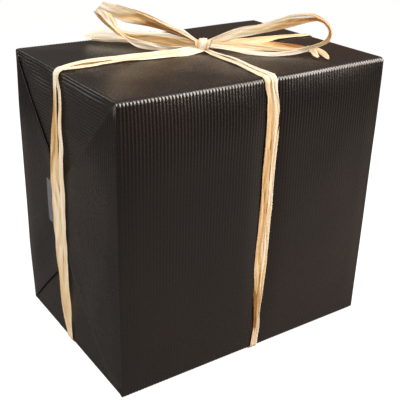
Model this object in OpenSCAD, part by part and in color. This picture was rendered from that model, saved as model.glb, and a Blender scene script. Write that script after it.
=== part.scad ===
// Gift box: a carton wrapped in one sheet of paper, tied both ways with raffia and finished with a bow.
// Millimetres, +Z up, front face towards -Y. Origin: centre of the footprint, on the surface it stands on.

/* [Box] */
// Width of the wrapped box, from end to end
box_w = 225; // [200:1:250]
// Depth of the wrapped box, front to back
box_d = 159; // [150:1:180]
// Height of the wrapped box
box_h = 218; // [210:1:240]

/* [Carton] */
// Thickness of the corrugated board
board_t = 3; // [2:0.5:4]
// Width of the glue tab inside the back wall
tab_w = 30; // [20:1:40]
// Width of the tape over the flap seams
carton_tape_w = 48; // [38:1:60]

/* [Paper] */
// Thickness of the ribbed paper
paper_t = 0.4; // [0.3:0.05:0.5]
// Radius of the paper over the edges of the carton
edge_r = 3.5; // [3:0.5:5]
// Length of paper that sticks out past each end before it is folded in
end_reach = 104; // [85:1:104]
// Rise of a side flap's slanting edge for each millimetre towards its tip
fold_slope = 0.95; // [0.9:0.01:1]
// Width of the seam overlap on the underside
overlap_w = 25; // [15:1:35]
// Thickness of the clear tape
tape_t = 0.1; // [0.05:0.05:0.15]

/* [Raffia] */
// Thickness of a raffia strand
raffia_t = 0.8; // [0.6:0.1:1]
// Width of the raffia bands at the box edges
band_w = 10; // [8:0.5:12]
// Place of the knot, left to right
knot_x = 4; // [-5:0.5:8]
// Place of the knot, front to back
knot_y = 3; // [-4:0.5:7]
// Radius of the knot
knot_r = 5.5; // [5:0.5:6]
// Width of the raffia in the bow's loops
loop_w = 9; // [7:0.5:11]
// Width of the raffia in the bow's tails
tail_w = 9; // [7:0.5:11]
// Direction of the left loop, anticlockwise from +X
left_loop_turn = 162; // [158:1:175]
// Direction of the right loop, anticlockwise from +X
right_loop_turn = -42; // [-46:1:-40]
// Direction of the left tail, anticlockwise from +X
left_tail_turn = 133; // [120:1:140]

/* [Hidden] */
$fn = 64;

// Heights of the layers, counted from the surface the box stands on
paper_lo = raffia_t;
paper_hi = paper_lo + box_h;
paper_mid = (paper_lo + paper_hi) / 2;
band_hi = paper_hi + raffia_t;

// The carton sits inside the paper with a little air, and its edges are rounded to match
air = 0.1;
end_layers = 3;
skin = paper_t + air;
carton_w = box_w - 2 * (end_layers * paper_t + air);
carton_d = box_d - 2 * (paper_t + air / 2);
carton_lo = paper_lo + skin;
carton_hi = paper_hi - skin;
carton_h = carton_hi - carton_lo;
carton_r = edge_r - skin;
wall_lo = carton_lo + board_t;
wall_hi = carton_hi - board_t;
flap_gap = 0.5;
end_flap_len = carton_d / 2;

// The paper sleeve stops just before the end folds start to turn
sleeve_half = box_w / 2 - edge_r - 1;
seam_y = 30;
seam_tape_w = 24;
seam_tape_l = 30;
seam_tape_x = 60;
end_tape = [[14, 33], [96, 131]];

// The bands lie over the end tapes, so they clear the paper ends by the tape's thickness
band_end = box_w / 2 + tape_t;
band_side = box_d / 2;

// Route and width of the raffia along each face: [share of the way, sideways place, width].
// On the ends and the front and back the share runs from the bottom up, on top from left or front.
left_leg = [[0, 3, band_w], [0.1, 6, 12], [0.26, 10.5, 17], [0.45, 11, 20], [0.69, 8.5, 18], [0.88, 4.5, 13],
    [1, 3, band_w]];
front_leg = [[0, 3.5, band_w], [0.1, 5, 8], [0.22, 4.8, 9], [0.35, 5, 11], [0.6, 6, 10.5], [0.87, 6.8, 10.5],
    [1, 3.5, band_w]];
top_long_leg = [[0, 3, band_w], [0.27, 7, 11], [0.52, 3.5, band_w], [1, 3, band_w]];
plain_long_leg = [[0, 3, band_w], [1, 3, band_w]];
plain_cross_leg = [[0, 3.5, band_w], [1, 3.5, band_w]];

// Bow routes in the upright plane of each loop: [distance from the knot, height above the paper]
neck_r = 2.6;
knot_h = raffia_t + knot_r;
left_loop_route = [[6.3, 4.9], [20, 3.4], [35, 4.6], [52, 9], [62, 16], [72, 25], [79, 32], [79.5, 36],
    [73, 36], [57, 31], [39, 24.5], [20.5, 14.6], [6.3, 8]];
right_loop_route = [[6.3, 4.9], [18, 3.4], [32, 2.8], [58, 2.8], [71, 3.8], [82, 7.4], [91, 13], [94.5, 20.5],
    [90, 27.5], [80, 30.6], [64, 28.5], [46, 23.4], [28, 17.5], [15, 11.9], [6.3, 8]];
left_tail_route = [[4, 1.55], [25, 1.55], [45, 2], [70, 4.5], [90, 6.5]];
// The right tail lies flat, so its route is seen from above, counted from the knot
right_tail_route = [[3.4, -2.2], [20, -12], [38, -24.5], [52, -34], [61, -41.5], [64.5, -46]];
tail_h = 1.15;
tail_knot_r = 3.2;
tail_knot_at = [66.5, -49];
tip_long = [[65, -51], [69.5, -50], [67, -60], [64.5, -70]];
tip_short = [[62.5, -51], [65.5, -51.5], [63, -58], [60, -63]];

PAPER = [0.16, 0.15, 0.14];
BOARD = [0.66, 0.5, 0.34];
TAPE = [0.85, 0.85, 0.82, 0.5];
RAFFIA = [0.87, 0.74, 0.53];

// ---- helpers ----

// Point at share t between b and c on the smooth curve through a, b, c, d
function curve_point(a, b, c, d, t) =
    0.5 * (2 * b + (c - a) * t + (2 * a - 5 * b + 4 * c - d) * t * t + (3 * b - 3 * c + d - a) * t * t * t);

// Smooth curve through the points p, with n steps between neighbours
function smooth(p, n) = let (last = len(p) - 1) [
    for (i = [0:last - 1], k = [0:n - 1])
        curve_point(p[max(i - 1, 0)], p[i], p[i + 1], p[min(i + 2, last)], k / n),
    p[last]
];

// Unit vector square to the curve c at its point i
function across(c, i) = let (
    along = c[min(i + 1, len(c) - 1)] - c[max(i - 1, 0)]
) [-along[1], along[0]] / norm(along);

// Outline of a strip of thickness t along the route p
module stroke(p, t) {
    c = smooth(p, 5);
    last = len(c) - 1;
    polygon(concat(
        [for (i = [0:last]) c[i] + across(c, i) * t / 2],
        [for (i = [0:last]) c[last - i] - across(c, last - i) * t / 2]
    ));
}

// Outline of a band that runs along X from x0 to x1, from stations [share, sideways place, width]
module band_outline(stations, x0, x1) {
    c = smooth(stations, 4);
    last = len(c) - 1;
    polygon(concat(
        [for (i = [0:last]) [x0 + c[i][0] * (x1 - x0), c[i][1] - c[i][2] / 2]],
        [for (i = [0:last]) [x0 + c[last - i][0] * (x1 - x0), c[last - i][1] + c[last - i][2] / 2]]
    ));
}

// Rectangle with round corners, centred
module rounded_rect(w, h, r) {
    square([w - 2 * r, h], center = true);
    square([w, h - 2 * r], center = true);
    for (x = [-1, 1], y = [-1, 1])
        translate([x * (w / 2 - r), y * (h / 2 - r)]) circle(r);
}

// Extrude an outline drawn in the YZ plane along X, starting at x
module along_x(x, len) translate([x, 0, 0]) rotate([90, 0, 90]) linear_extrude(len) children();

// Extrude an outline drawn in the XZ plane along Y, centred on y
module along_y(y, len)
    translate([0, y, 0]) rotate([90, 0, 0]) linear_extrude(len, center = true) children();

// ---- carton ----

// Outer shape of the carton, with all twelve edges rounded
module carton_shape() {
    intersection() {
        along_x(-carton_w / 2, carton_w)
            translate([0, paper_mid]) rounded_rect(carton_d, carton_h, carton_r);
        along_y(0, carton_d) translate([0, paper_mid]) rounded_rect(carton_w, carton_h, carton_r);
        translate([0, 0, carton_lo]) linear_extrude(carton_h) rounded_rect(carton_w, carton_d, carton_r);
    }
}

module board(low, high) {
    color(BOARD) intersection() {
        carton_shape();
        translate(low) cube(high - low);
    }
}

// side is -1 for the front wall and 1 for the back wall
module long_wall(side) {
    y = side > 0 ? carton_d / 2 - board_t : -carton_d / 2;
    board([-carton_w / 2, y, wall_lo], [carton_w / 2, y + board_t, wall_hi]);
}

// side is -1 for the left wall and 1 for the right wall
module end_wall(side) {
    x = side > 0 ? carton_w / 2 - board_t : -carton_w / 2;
    y = carton_d / 2 - board_t;
    board([x, -y, wall_lo], [x + board_t, y, wall_hi]);
}

module carton_front_wall() long_wall(-1);
module carton_back_wall() long_wall(1);
module carton_left_wall() end_wall(-1);
module carton_right_wall() end_wall(1);

module carton_glue_tab() {
    x = -carton_w / 2 + board_t;
    y = carton_d / 2 - board_t;
    board([x, y - board_t, wall_lo + board_t], [x + tab_w, y, wall_hi - board_t]);
}

// Pair of short flaps inside the walls, with their lower face at z
module end_flaps(z) {
    x = carton_w / 2 - board_t;
    y = carton_d / 2 - board_t;
    board([-x, -y, z], [-x + end_flap_len, y, z + board_t]);
    board([x - end_flap_len, -y, z], [x, y, z + board_t]);
}

// Pair of long flaps that meet along the middle, with their lower face at z
module long_flaps(z) {
    board([-carton_w / 2, -carton_d / 2, z], [carton_w / 2, -flap_gap / 2, z + board_t]);
    board([-carton_w / 2, flap_gap / 2, z], [carton_w / 2, carton_d / 2, z + board_t]);
}

module carton_bottom_end_flaps() end_flaps(wall_lo);
module carton_bottom_long_flaps() long_flaps(carton_lo);
module carton_top_end_flaps() end_flaps(wall_hi - board_t);
module carton_top_long_flaps() long_flaps(wall_hi);

module carton_tape(z) {
    len = carton_w - 2 * carton_r;
    color(TAPE) translate([-len / 2, -carton_tape_w / 2, z]) cube([len, carton_tape_w, air]);
}

module carton_bottom_tape() carton_tape(carton_lo - air);
module carton_top_tape() carton_tape(carton_hi);

// ---- paper ----

module wrap_sleeve() {
    color(PAPER) {
        along_x(-sleeve_half, 2 * sleeve_half) translate([0, paper_mid]) difference() {
            rounded_rect(box_d, box_h, edge_r);
            rounded_rect(box_d - 2 * paper_t, box_h - 2 * paper_t, edge_r - paper_t);
        }
        translate([-sleeve_half, seam_y, paper_lo - paper_t]) cube([2 * sleeve_half, overlap_w, paper_t]);
    }
}

// Strips of tape that step down from the sleeve onto the overlap
module wrap_seam_tapes() {
    half = seam_tape_w / 2;
    low = paper_lo - paper_t;
    color(TAPE) for (x = [-1, 1]) along_x(x * seam_tape_x - seam_tape_l / 2, seam_tape_l)
        polygon([
            [seam_y - half, paper_lo], [seam_y - half, paper_lo - tape_t], [seam_y - tape_t, paper_lo - tape_t],
            [seam_y - tape_t, low - tape_t], [seam_y + half, low - tape_t], [seam_y + half, low],
            [seam_y, low], [seam_y, paper_lo]
        ]);
}

// The folds below are drawn for the end at +X. Layer 1 lies on the carton and layer 3 is outermost.
function layer_out(layer) = box_w / 2 - (end_layers - layer) * paper_t;

// Section of the paper where it turns over an edge: X away from the middle, Y out of the face
module turn_section(layer) {
    turn_x = layer_out(layer) - edge_r;
    translate([sleeve_half, -paper_t]) square([turn_x - sleeve_half, paper_t]);
    translate([turn_x, -edge_r]) intersection() {
        difference() {
            circle(edge_r);
            circle(edge_r - paper_t);
        }
        square(edge_r);
    }
}

module flat_layer(layer) along_x(layer_out(layer) - paper_t, paper_t) children();

module top_flap() {
    half = box_d / 2 - edge_r;
    color(PAPER) {
        along_y(0, 2 * half) translate([0, paper_hi]) turn_section(1);
        flat_layer(1) translate([-half, paper_hi - end_reach]) square([2 * half, end_reach - edge_r]);
    }
}

module bottom_flap() translate([0, 0, 2 * paper_mid]) mirror([0, 0, 1]) top_flap();

// Trapezium that tapers from the edge at +Y towards a narrow end
module side_flap(layer) {
    root = box_d / 2 - edge_r;
    tip = box_d / 2 - end_reach;
    shoulder = box_d / 2 - edge_r / fold_slope;
    drop = fold_slope * end_reach;
    color(PAPER) {
        translate([0, box_d / 2, paper_lo + edge_r]) linear_extrude(box_h - 2 * edge_r) turn_section(layer);
        flat_layer(layer) polygon([
            [root, paper_lo + edge_r], [root, paper_hi - edge_r], [shoulder, paper_hi - edge_r],
            [tip, paper_hi - drop], [tip, paper_lo + drop], [shoulder, paper_lo + edge_r]
        ]);
    }
}

// Tape over the narrow end of the outermost flap, which comes from the edge at -Y
module end_fold_tape() {
    outer = box_w / 2;
    step_y = end_reach - box_d / 2;
    under = outer - paper_t;
    color(TAPE) translate([0, 0, end_tape[1][0]]) linear_extrude(end_tape[1][1] - end_tape[1][0])
        polygon([
            [outer, end_tape[0][0]], [outer + tape_t, end_tape[0][0]], [outer + tape_t, step_y + tape_t],
            [under + tape_t, step_y + tape_t], [under + tape_t, end_tape[0][1]], [under, end_tape[0][1]],
            [under, step_y], [outer, step_y]
        ]);
}

// The left end is folded first, then the box is turned round for the right end
module at_left() mirror([1, 0, 0]) children();
module at_right() mirror([0, 1, 0]) children();

module wrap_left_top_flap() at_left() top_flap();
module wrap_left_bottom_flap() at_left() bottom_flap();
module wrap_left_back_flap() at_left() side_flap(2);
module wrap_left_front_flap() at_left() mirror([0, 1, 0]) side_flap(3);
module wrap_left_tape() at_left() end_fold_tape();
module wrap_right_top_flap() at_right() top_flap();
module wrap_right_bottom_flap() at_right() bottom_flap();
module wrap_right_front_flap() at_right() side_flap(2);
module wrap_right_back_flap() at_right() mirror([0, 1, 0]) side_flap(3);
module wrap_right_tape() at_right() end_fold_tape();

// ---- raffia bands ----

// Swap the two directions of a flat outline
module swapped() mirror([1, -1]) children();

// The four rounded turns of a band that goes round a rectangle of half width x
module band_turns(x) {
    translate([0, paper_mid]) difference() {
        rounded_rect(2 * (x + raffia_t), box_h + 2 * raffia_t, edge_r + raffia_t);
        rounded_rect(2 * x, box_h, edge_r);
        square([2 * (x - edge_r), 2 * box_h], center = true);
        square([4 * x, box_h - 2 * edge_r], center = true);
    }
}

module long_outline(stations) band_outline(stations, edge_r - band_end, band_end - edge_r);
module cross_outline() swapped() band_outline(plain_cross_leg, edge_r - band_side, band_side - edge_r);
module upright_outline(stations) swapped() band_outline(stations, paper_lo + edge_r, paper_hi - edge_r);

// Flat layer of thickness t with its lower face at z
module slab(z, t) translate([0, 0, z]) linear_extrude(t) children();

module long_ring() {
    slab(paper_hi, raffia_t) long_outline(top_long_leg);
    slab(0, raffia_t) long_outline(plain_long_leg);
    along_x(-band_end - raffia_t, raffia_t) upright_outline(left_leg);
    along_x(band_end, raffia_t) upright_outline(plain_long_leg);
    along_y(plain_long_leg[0][1], band_w) band_turns(band_end);
}

module cross_ring() {
    slab(paper_hi, raffia_t) cross_outline();
    slab(0, raffia_t) cross_outline();
    along_y(-band_side - raffia_t / 2, raffia_t) upright_outline(front_leg);
    along_y(band_side + raffia_t / 2, raffia_t) upright_outline(plain_cross_leg);
    along_x(plain_cross_leg[0][1] - band_w / 2, band_w) band_turns(band_side);
}

// Where the bands cross each gives up half its thickness, and the cross band is the outer one
module raffia_long_band() {
    color(RAFFIA) difference() {
        long_ring();
        slab(paper_hi + raffia_t / 2, raffia_t) cross_outline();
        slab(-raffia_t / 2, raffia_t) cross_outline();
    }
}

// The cross band also passes over the paper's overlap on the underside
module raffia_cross_band() {
    color(RAFFIA) difference() {
        cross_ring();
        slab(paper_hi - raffia_t / 2, raffia_t) long_outline(top_long_leg);
        slab(raffia_t / 2, raffia_t) long_outline(plain_long_leg);
        slab(paper_lo - paper_t, paper_t) translate([-sleeve_half, seam_y]) square([2 * sleeve_half, overlap_w]);
    }
}

// ---- bow ----

module at_knot(turn) translate([knot_x, knot_y, paper_hi]) rotate(turn) children();

// Knot with a short neck down to the crossing of the bands
module bow_knot() {
    color(RAFFIA) at_knot(0) {
        translate([0, 0, knot_h]) sphere(knot_r);
        translate([0, 0, raffia_t]) cylinder(h = knot_r, r = neck_r);
    }
}

// Ribbon that follows a route in an upright plane and is gathered to a narrow end at the knot
module upright_ribbon(route, width, root_w) {
    reach = 110;
    gather = 24;
    intersection() {
        rotate([90, 0, 0]) linear_extrude(width, center = true) stroke(route, raffia_t);
        linear_extrude(reach) polygon([
            [0, -root_w / 2], [gather, -width / 2], [reach, -width / 2],
            [reach, width / 2], [gather, width / 2], [0, root_w / 2]
        ]);
    }
}

module bow_left_loop() color(RAFFIA) at_knot(left_loop_turn) upright_ribbon(left_loop_route, loop_w, 3);
module bow_right_loop() color(RAFFIA) at_knot(right_loop_turn) upright_ribbon(right_loop_route, loop_w, 3);
module bow_left_tail() color(RAFFIA) at_knot(left_tail_turn) upright_ribbon(left_tail_route, tail_w, 3);

module bow_right_tail() {
    color(RAFFIA) at_knot(0) difference() {
        intersection() {
            slab(tail_h, raffia_t) stroke(right_tail_route, tail_w);
            slab(0, knot_h) rotate(-35) polygon([[0, -2], [24, -8], [110, -30], [110, 30], [24, 8], [0, 2]]);
        }
        translate([tail_knot_at[0], tail_knot_at[1], tail_h + tail_knot_r]) sphere(tail_knot_r);
    }
}

module bow_right_tail_knot() {
    color(RAFFIA) at_knot(0) translate([tail_knot_at[0], tail_knot_at[1], tail_h + tail_knot_r])
        sphere(tail_knot_r);
}

// Two split ends that lie flat beyond the small knot
module bow_right_tail_tips() {
    color(RAFFIA) at_knot(0) difference() {
        slab(tail_h, raffia_t) {
            polygon(tip_long);
            polygon(tip_short);
        }
        translate([tail_knot_at[0], tail_knot_at[1], tail_h + tail_knot_r]) sphere(tail_knot_r);
    }
}

carton_front_wall();
carton_back_wall();
carton_left_wall();
carton_right_wall();
carton_glue_tab();
carton_bottom_end_flaps();
carton_bottom_long_flaps();
carton_top_end_flaps();
carton_top_long_flaps();
carton_bottom_tape();
carton_top_tape();
wrap_sleeve();
wrap_seam_tapes();
wrap_left_top_flap();
wrap_left_bottom_flap();
wrap_left_back_flap();
wrap_left_front_flap();
wrap_left_tape();
wrap_right_top_flap();
wrap_right_bottom_flap();
wrap_right_front_flap();
wrap_right_back_flap();
wrap_right_tape();
raffia_long_band();
raffia_cross_band();
bow_knot();
bow_left_loop();
bow_right_loop();
bow_left_tail();
bow_right_tail();
bow_right_tail_knot();
bow_right_tail_tips();
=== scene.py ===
"""A carton wrapped in ribbed black paper with envelope-folded ends, tied with raffia strands and a bow.

The carton is the frame's own. The paper, the tapes, the raffia and the materials are made here.
Routes and outlines are written in millimetres and turned into metres where a mesh is made.
"""

import math

import bmesh
import bpy
import numpy as np
from mathutils import Matrix, Vector


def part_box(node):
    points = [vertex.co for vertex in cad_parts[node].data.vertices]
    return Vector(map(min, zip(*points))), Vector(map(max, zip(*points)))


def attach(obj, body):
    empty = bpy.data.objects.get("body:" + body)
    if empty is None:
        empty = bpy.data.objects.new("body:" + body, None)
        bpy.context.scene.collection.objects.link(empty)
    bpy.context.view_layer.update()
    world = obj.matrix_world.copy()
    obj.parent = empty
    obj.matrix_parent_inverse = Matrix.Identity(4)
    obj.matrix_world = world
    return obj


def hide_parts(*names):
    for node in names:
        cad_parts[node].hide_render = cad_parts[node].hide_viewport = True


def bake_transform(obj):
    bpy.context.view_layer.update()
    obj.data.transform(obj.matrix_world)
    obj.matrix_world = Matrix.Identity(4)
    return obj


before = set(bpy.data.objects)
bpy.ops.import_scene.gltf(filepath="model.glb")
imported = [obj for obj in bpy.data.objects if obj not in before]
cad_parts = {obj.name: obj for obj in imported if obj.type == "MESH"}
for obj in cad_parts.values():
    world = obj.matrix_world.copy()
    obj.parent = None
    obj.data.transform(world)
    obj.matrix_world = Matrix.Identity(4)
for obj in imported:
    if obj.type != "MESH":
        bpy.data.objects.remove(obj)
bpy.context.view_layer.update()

bl_info = {
    "name": "Raffia-tied gift box",
    "version": (1, 0, 0),
    "blender": (4, 5, 0),
    "location": "View3D > Sidebar > Gift box",
    "description": "Builds a carton wrapped in ribbed paper and tied with raffia",
    "category": "Add Mesh",
}

# Metres in a millimetre
MM = 0.001
# Step from one layer of paper to the next where they overlap
LAYER = 0.4
# Height of the sleeve's paper underneath, over its overlap, and on top, half the depth of the
# sleeve, and half the width over the outermost end flaps
PAPER_LO, PAPER_HI = (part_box("wrap_sleeve")[k].z / MM for k in (0, 1))
PAPER_LO += LAYER
HALF_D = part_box("wrap_sleeve")[1].y / MM
HALF_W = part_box("wrap_right_back_flap")[1].x / MM
# Radius of the sleeve's four long corners, and of the edges where it turns over the ends
TURN_R = 3.5
END_R = 1.2
# How far a side flap reaches over the end
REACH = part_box("wrap_left_front_flap")[1].y / MM + HALF_D - END_R
# Where the two bands cross, and how high the middle of the knot is over the paper
KNOT_X, KNOT_Y = 4.0, 3.0
# Thickness of the clear tape, and how far it stands out over the first flap
TAPE = 0.06
TAPE_OUT = 0.95


# ---- numbers that vary along a line or over a surface ----

def smooth(stations, q):
    """Values at the places q on a smooth curve through the rows of stations.

    The first column is the place. Between rows it is a cubic Hermite curve, and the slope at a row
    is the mean slope of its two neighbours. q may have any shape.
    """
    rows = np.asarray(stations, float)
    place, value = rows[:, 0], rows[:, 1:]
    slope = np.gradient(value, place, axis=0)
    q = np.clip(np.asarray(q, float), place[0], place[-1])
    k = np.clip(np.searchsorted(place, q, side="right") - 1, 0, len(place) - 2)
    step = place[k + 1] - place[k]
    x = ((q - place[k]) / step)[..., None]
    step = step[..., None]
    rise = (1 + 2 * x) * (1 - x) ** 2 * value[k] + x * (1 - x) ** 2 * step * slope[k]
    return rise + x * x * (3 - 2 * x) * value[k + 1] + x * x * (x - 1) * step * slope[k + 1]


def ease(x):
    """0 below 0, 1 above 1, and a smooth S between."""
    x = np.clip(x, 0, 1)
    return x * x * (3 - 2 * x)


def swell(a, b, seed, wave=70.0):
    """A gentle unevenness from 0 to 1 over the plane (a, b) in mm.

    Five sine waves of random direction and phase, 0.6 to 1.6 times wave long, are added.
    """
    rng = np.random.default_rng(seed)
    total = 0
    turns, lengths, phases = (rng.uniform(*reach, 5) for reach in ((0, math.pi), (0.6, 1.6), (0, 6.28)))
    for turn, length, phase in zip(turns, lengths, phases):
        run = np.cos(turn) * a + np.sin(turn) * b
        total = total + np.sin(run * 2 * math.pi / (wave * length) + phase)
    return 0.5 + total / 10


def loosen(points):
    """The same points where the wrap is not quite tight, in mm.

    The right end of the top stands up to 1.3 mm proud and the back edge of the left end up to 1.1 mm.
    """
    x, y, z = np.moveaxis(np.array(points, float), -1, 0)
    proud = 1.3 * ease((x - 10) / 90) * ease((z - PAPER_HI + 16) / 12)
    out = 1.1 * ease((y - 25) / 45) * ease(z / 50) * ease((PAPER_HI - 4 - z) / 50) * ease((-90 - x) / 20)
    return np.stack([x - out, y, z + proud], -1)


def creases(a, b, lines):
    """Height in mm of soft creases over the plane (a, b).

    Each line is [a and b of one end, a and b of the other, height, half width]. The height falls off
    as a bell curve with the distance from the line.
    """
    total = 0
    for a0, b0, a1, b1, height, wide in lines:
        run = np.array([a1 - a0, b1 - b0], float)
        share = np.clip(((a - a0) * run[0] + (b - b0) * run[1]) / (run @ run), 0, 1)
        away = (a - a0 - share * run[0]) ** 2 + (b - b0 - share * run[1]) ** 2
        total = total + height * np.exp(-away / wide ** 2)
    return total


# ---- meshes ----

def grid_faces(rows, cols, ring=False):
    """Quads of a grid of rows x cols points. With ring, the last row joins the first."""
    i = np.arange(rows if ring else rows - 1)[:, None]
    j = np.arange(cols - 1)[None, :]
    below = (i + 1) % rows
    quads = [i * cols + j, i * cols + j + 1, below * cols + j + 1, below * cols + j]
    return np.stack([np.broadcast_to(q, (len(i), cols - 1)) for q in quads], -1).reshape(-1, 4)


def make_piece(name, points, faces, material, marks=None):
    """A mesh object of points in mm and quads, with marks as its vector attributes by name."""
    mesh = bpy.data.meshes.new(name)
    mesh.from_pydata((points.reshape(-1, 3) * MM).tolist(), [], faces.tolist())
    for key, values in (marks or {}).items():
        layer = mesh.attributes.new(key, "FLOAT_VECTOR", "POINT")
        layer.data.foreach_set("vector", values.reshape(-1).astype(np.float32))
    mesh.validate()
    mesh.polygons.foreach_set("use_smooth", np.ones(len(mesh.polygons), bool))
    mesh.materials.append(material)
    obj = bpy.data.objects.new(name, mesh)
    bpy.context.scene.collection.objects.link(obj)
    return obj


def join_grids(parts):
    """Several (points, faces, marks) put together into one, with the faces' numbers moved on."""
    points, faces, marks, count = [], [], [], 0
    for grid, quads, mark in parts:
        points.append(grid.reshape(-1, 3))
        faces.append(quads + count)
        marks.append(mark.reshape(-1, 3))
        count += len(points[-1])
    return np.concatenate(points), np.concatenate(faces), np.concatenate(marks)


def weld(obj, gap=0.01):
    """Merges the points of obj that are closer than gap mm."""
    work = bmesh.new()
    work.from_mesh(obj.data)
    bmesh.ops.remove_doubles(work, verts=work.verts, dist=gap * MM)
    work.to_mesh(obj.data)
    work.free()


def thicken(obj, thickness):
    """Gives a sheet a real thickness in mm, half to each side."""
    wall = obj.modifiers.new("thickness", "SOLIDIFY")
    wall.thickness = thickness * MM
    wall.offset = 0


# ---- node helpers ----

def add(tree, kind, place, **values):
    """A node at a place, with its properties and named or numbered inputs set."""
    node = tree.nodes.new(kind)
    node.location = place
    for key, value in values.items():
        if key.startswith("in_"):
            slot = key[3:]
            node.inputs[int(slot) if slot.isdigit() else slot.replace("_", " ")].default_value = value
        else:
            setattr(node, key, value)
    return node


def wire(tree, *wires):
    """Links sockets in a node tree. Each wire is (from node, its output, to node, its input)."""
    for source, output, target, slot in wires:
        tree.links.new(source.outputs[output], target.inputs[slot])


def new_material(name):
    """A material with a Principled shader, returned as (material, its node tree, the shader)."""
    material = bpy.data.materials.new(name)
    material.use_nodes = True
    tree = material.node_tree
    tree.nodes.clear()
    out = add(tree, "ShaderNodeOutputMaterial", (600, 0))
    shader = add(tree, "ShaderNodeBsdfPrincipled", (300, 0))
    wire(tree, (shader, 0, out, 0))
    return material, tree, shader


def ramp(tree, place, stops):
    """A colour ramp through (position, colour) stops."""
    node = add(tree, "ShaderNodeValToRGB", place)
    band = node.color_ramp
    while len(band.elements) < len(stops):
        band.elements.new(0.5)
    for element, (position, colour) in zip(band.elements, stops):
        element.position = position
        element.color = (*colour, 1)
    return node


def fibre_group():
    """Node group: paper and board fibres, a fine speckle and a slow cloud on Object coordinates.

    It puts out Fine, the speckle from 0 to 1, Cloud, the slow variation, and Height for a bump.
    """
    if "Paper fibres" in bpy.data.node_groups:
        return bpy.data.node_groups["Paper fibres"]
    group = bpy.data.node_groups.new("Paper fibres", "ShaderNodeTree")
    group.interface.new_socket("Fine scale", in_out="INPUT", socket_type="NodeSocketFloat")
    group.interface.new_socket("Cloud scale", in_out="INPUT", socket_type="NodeSocketFloat")
    for name in ("Fine", "Cloud", "Height"):
        group.interface.new_socket(name, in_out="OUTPUT", socket_type="NodeSocketFloat")
    enter = add(group, "NodeGroupInput", (-600, 0))
    leave = add(group, "NodeGroupOutput", (400, 0))
    place = add(group, "ShaderNodeTexCoord", (-600, 300))
    fine = add(group, "ShaderNodeTexNoise", (-300, 200), in_Detail=4.0, in_Roughness=0.65)
    cloud = add(group, "ShaderNodeTexNoise", (-300, -100), in_Detail=3.0)
    both = add(group, "ShaderNodeMath", (0, 0), operation="MULTIPLY_ADD", in_1=0.7)
    wire(
        group, (place, "Object", fine, "Vector"), (place, "Object", cloud, "Vector"),
        (enter, "Fine scale", fine, "Scale"), (enter, "Cloud scale", cloud, "Scale"),
        (fine, "Fac", both, 0), (cloud, "Fac", both, 2), (fine, "Fac", leave, "Fine"),
        (cloud, "Fac", leave, "Cloud"), (both, 0, leave, "Height"),
    )
    return group


def place_fibres(tree, place, fine, cloud):
    """The fibre group in a material, at two scales."""
    node = add(tree, "ShaderNodeGroup", place, node_tree=fibre_group())
    node.inputs["Fine scale"].default_value = fine
    node.inputs["Cloud scale"].default_value = cloud
    return node


def wrapping_black():
    """Black ribbed kraft: near-black, satin, with a brown cast that comes and goes."""
    if "wrapping black" in bpy.data.materials:
        return bpy.data.materials["wrapping black"]
    looks = bpy.context.scene.gift_paper
    material, tree, shader = new_material("wrapping black")
    fibres = place_fibres(tree, (-700, 0), 1400.0, 9.0)
    dark = tuple(looks.colour)
    warm = tuple(looks.warm_colour)
    tint = ramp(tree, (-400, 200), [(0.35, dark), (0.65, warm)])
    speck = ramp(tree, (-400, -100), [(0.3, (0.23, 0.23, 0.23)), (0.75, (0.35, 0.35, 0.35))])
    bump = add(tree, "ShaderNodeBump", (0, -300), in_Strength=0.25, in_Distance=0.00005)
    wire(
        tree, (fibres, "Cloud", tint, 0), (tint, 0, shader, "Base Color"), (fibres, "Fine", speck, 0),
        (speck, 0, shader, "Roughness"), (fibres, "Height", bump, "Height"),
        (bump, 0, shader, "Normal"),
    )
    shader.inputs["Specular IOR Level"].default_value = 0.62
    return material


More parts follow.
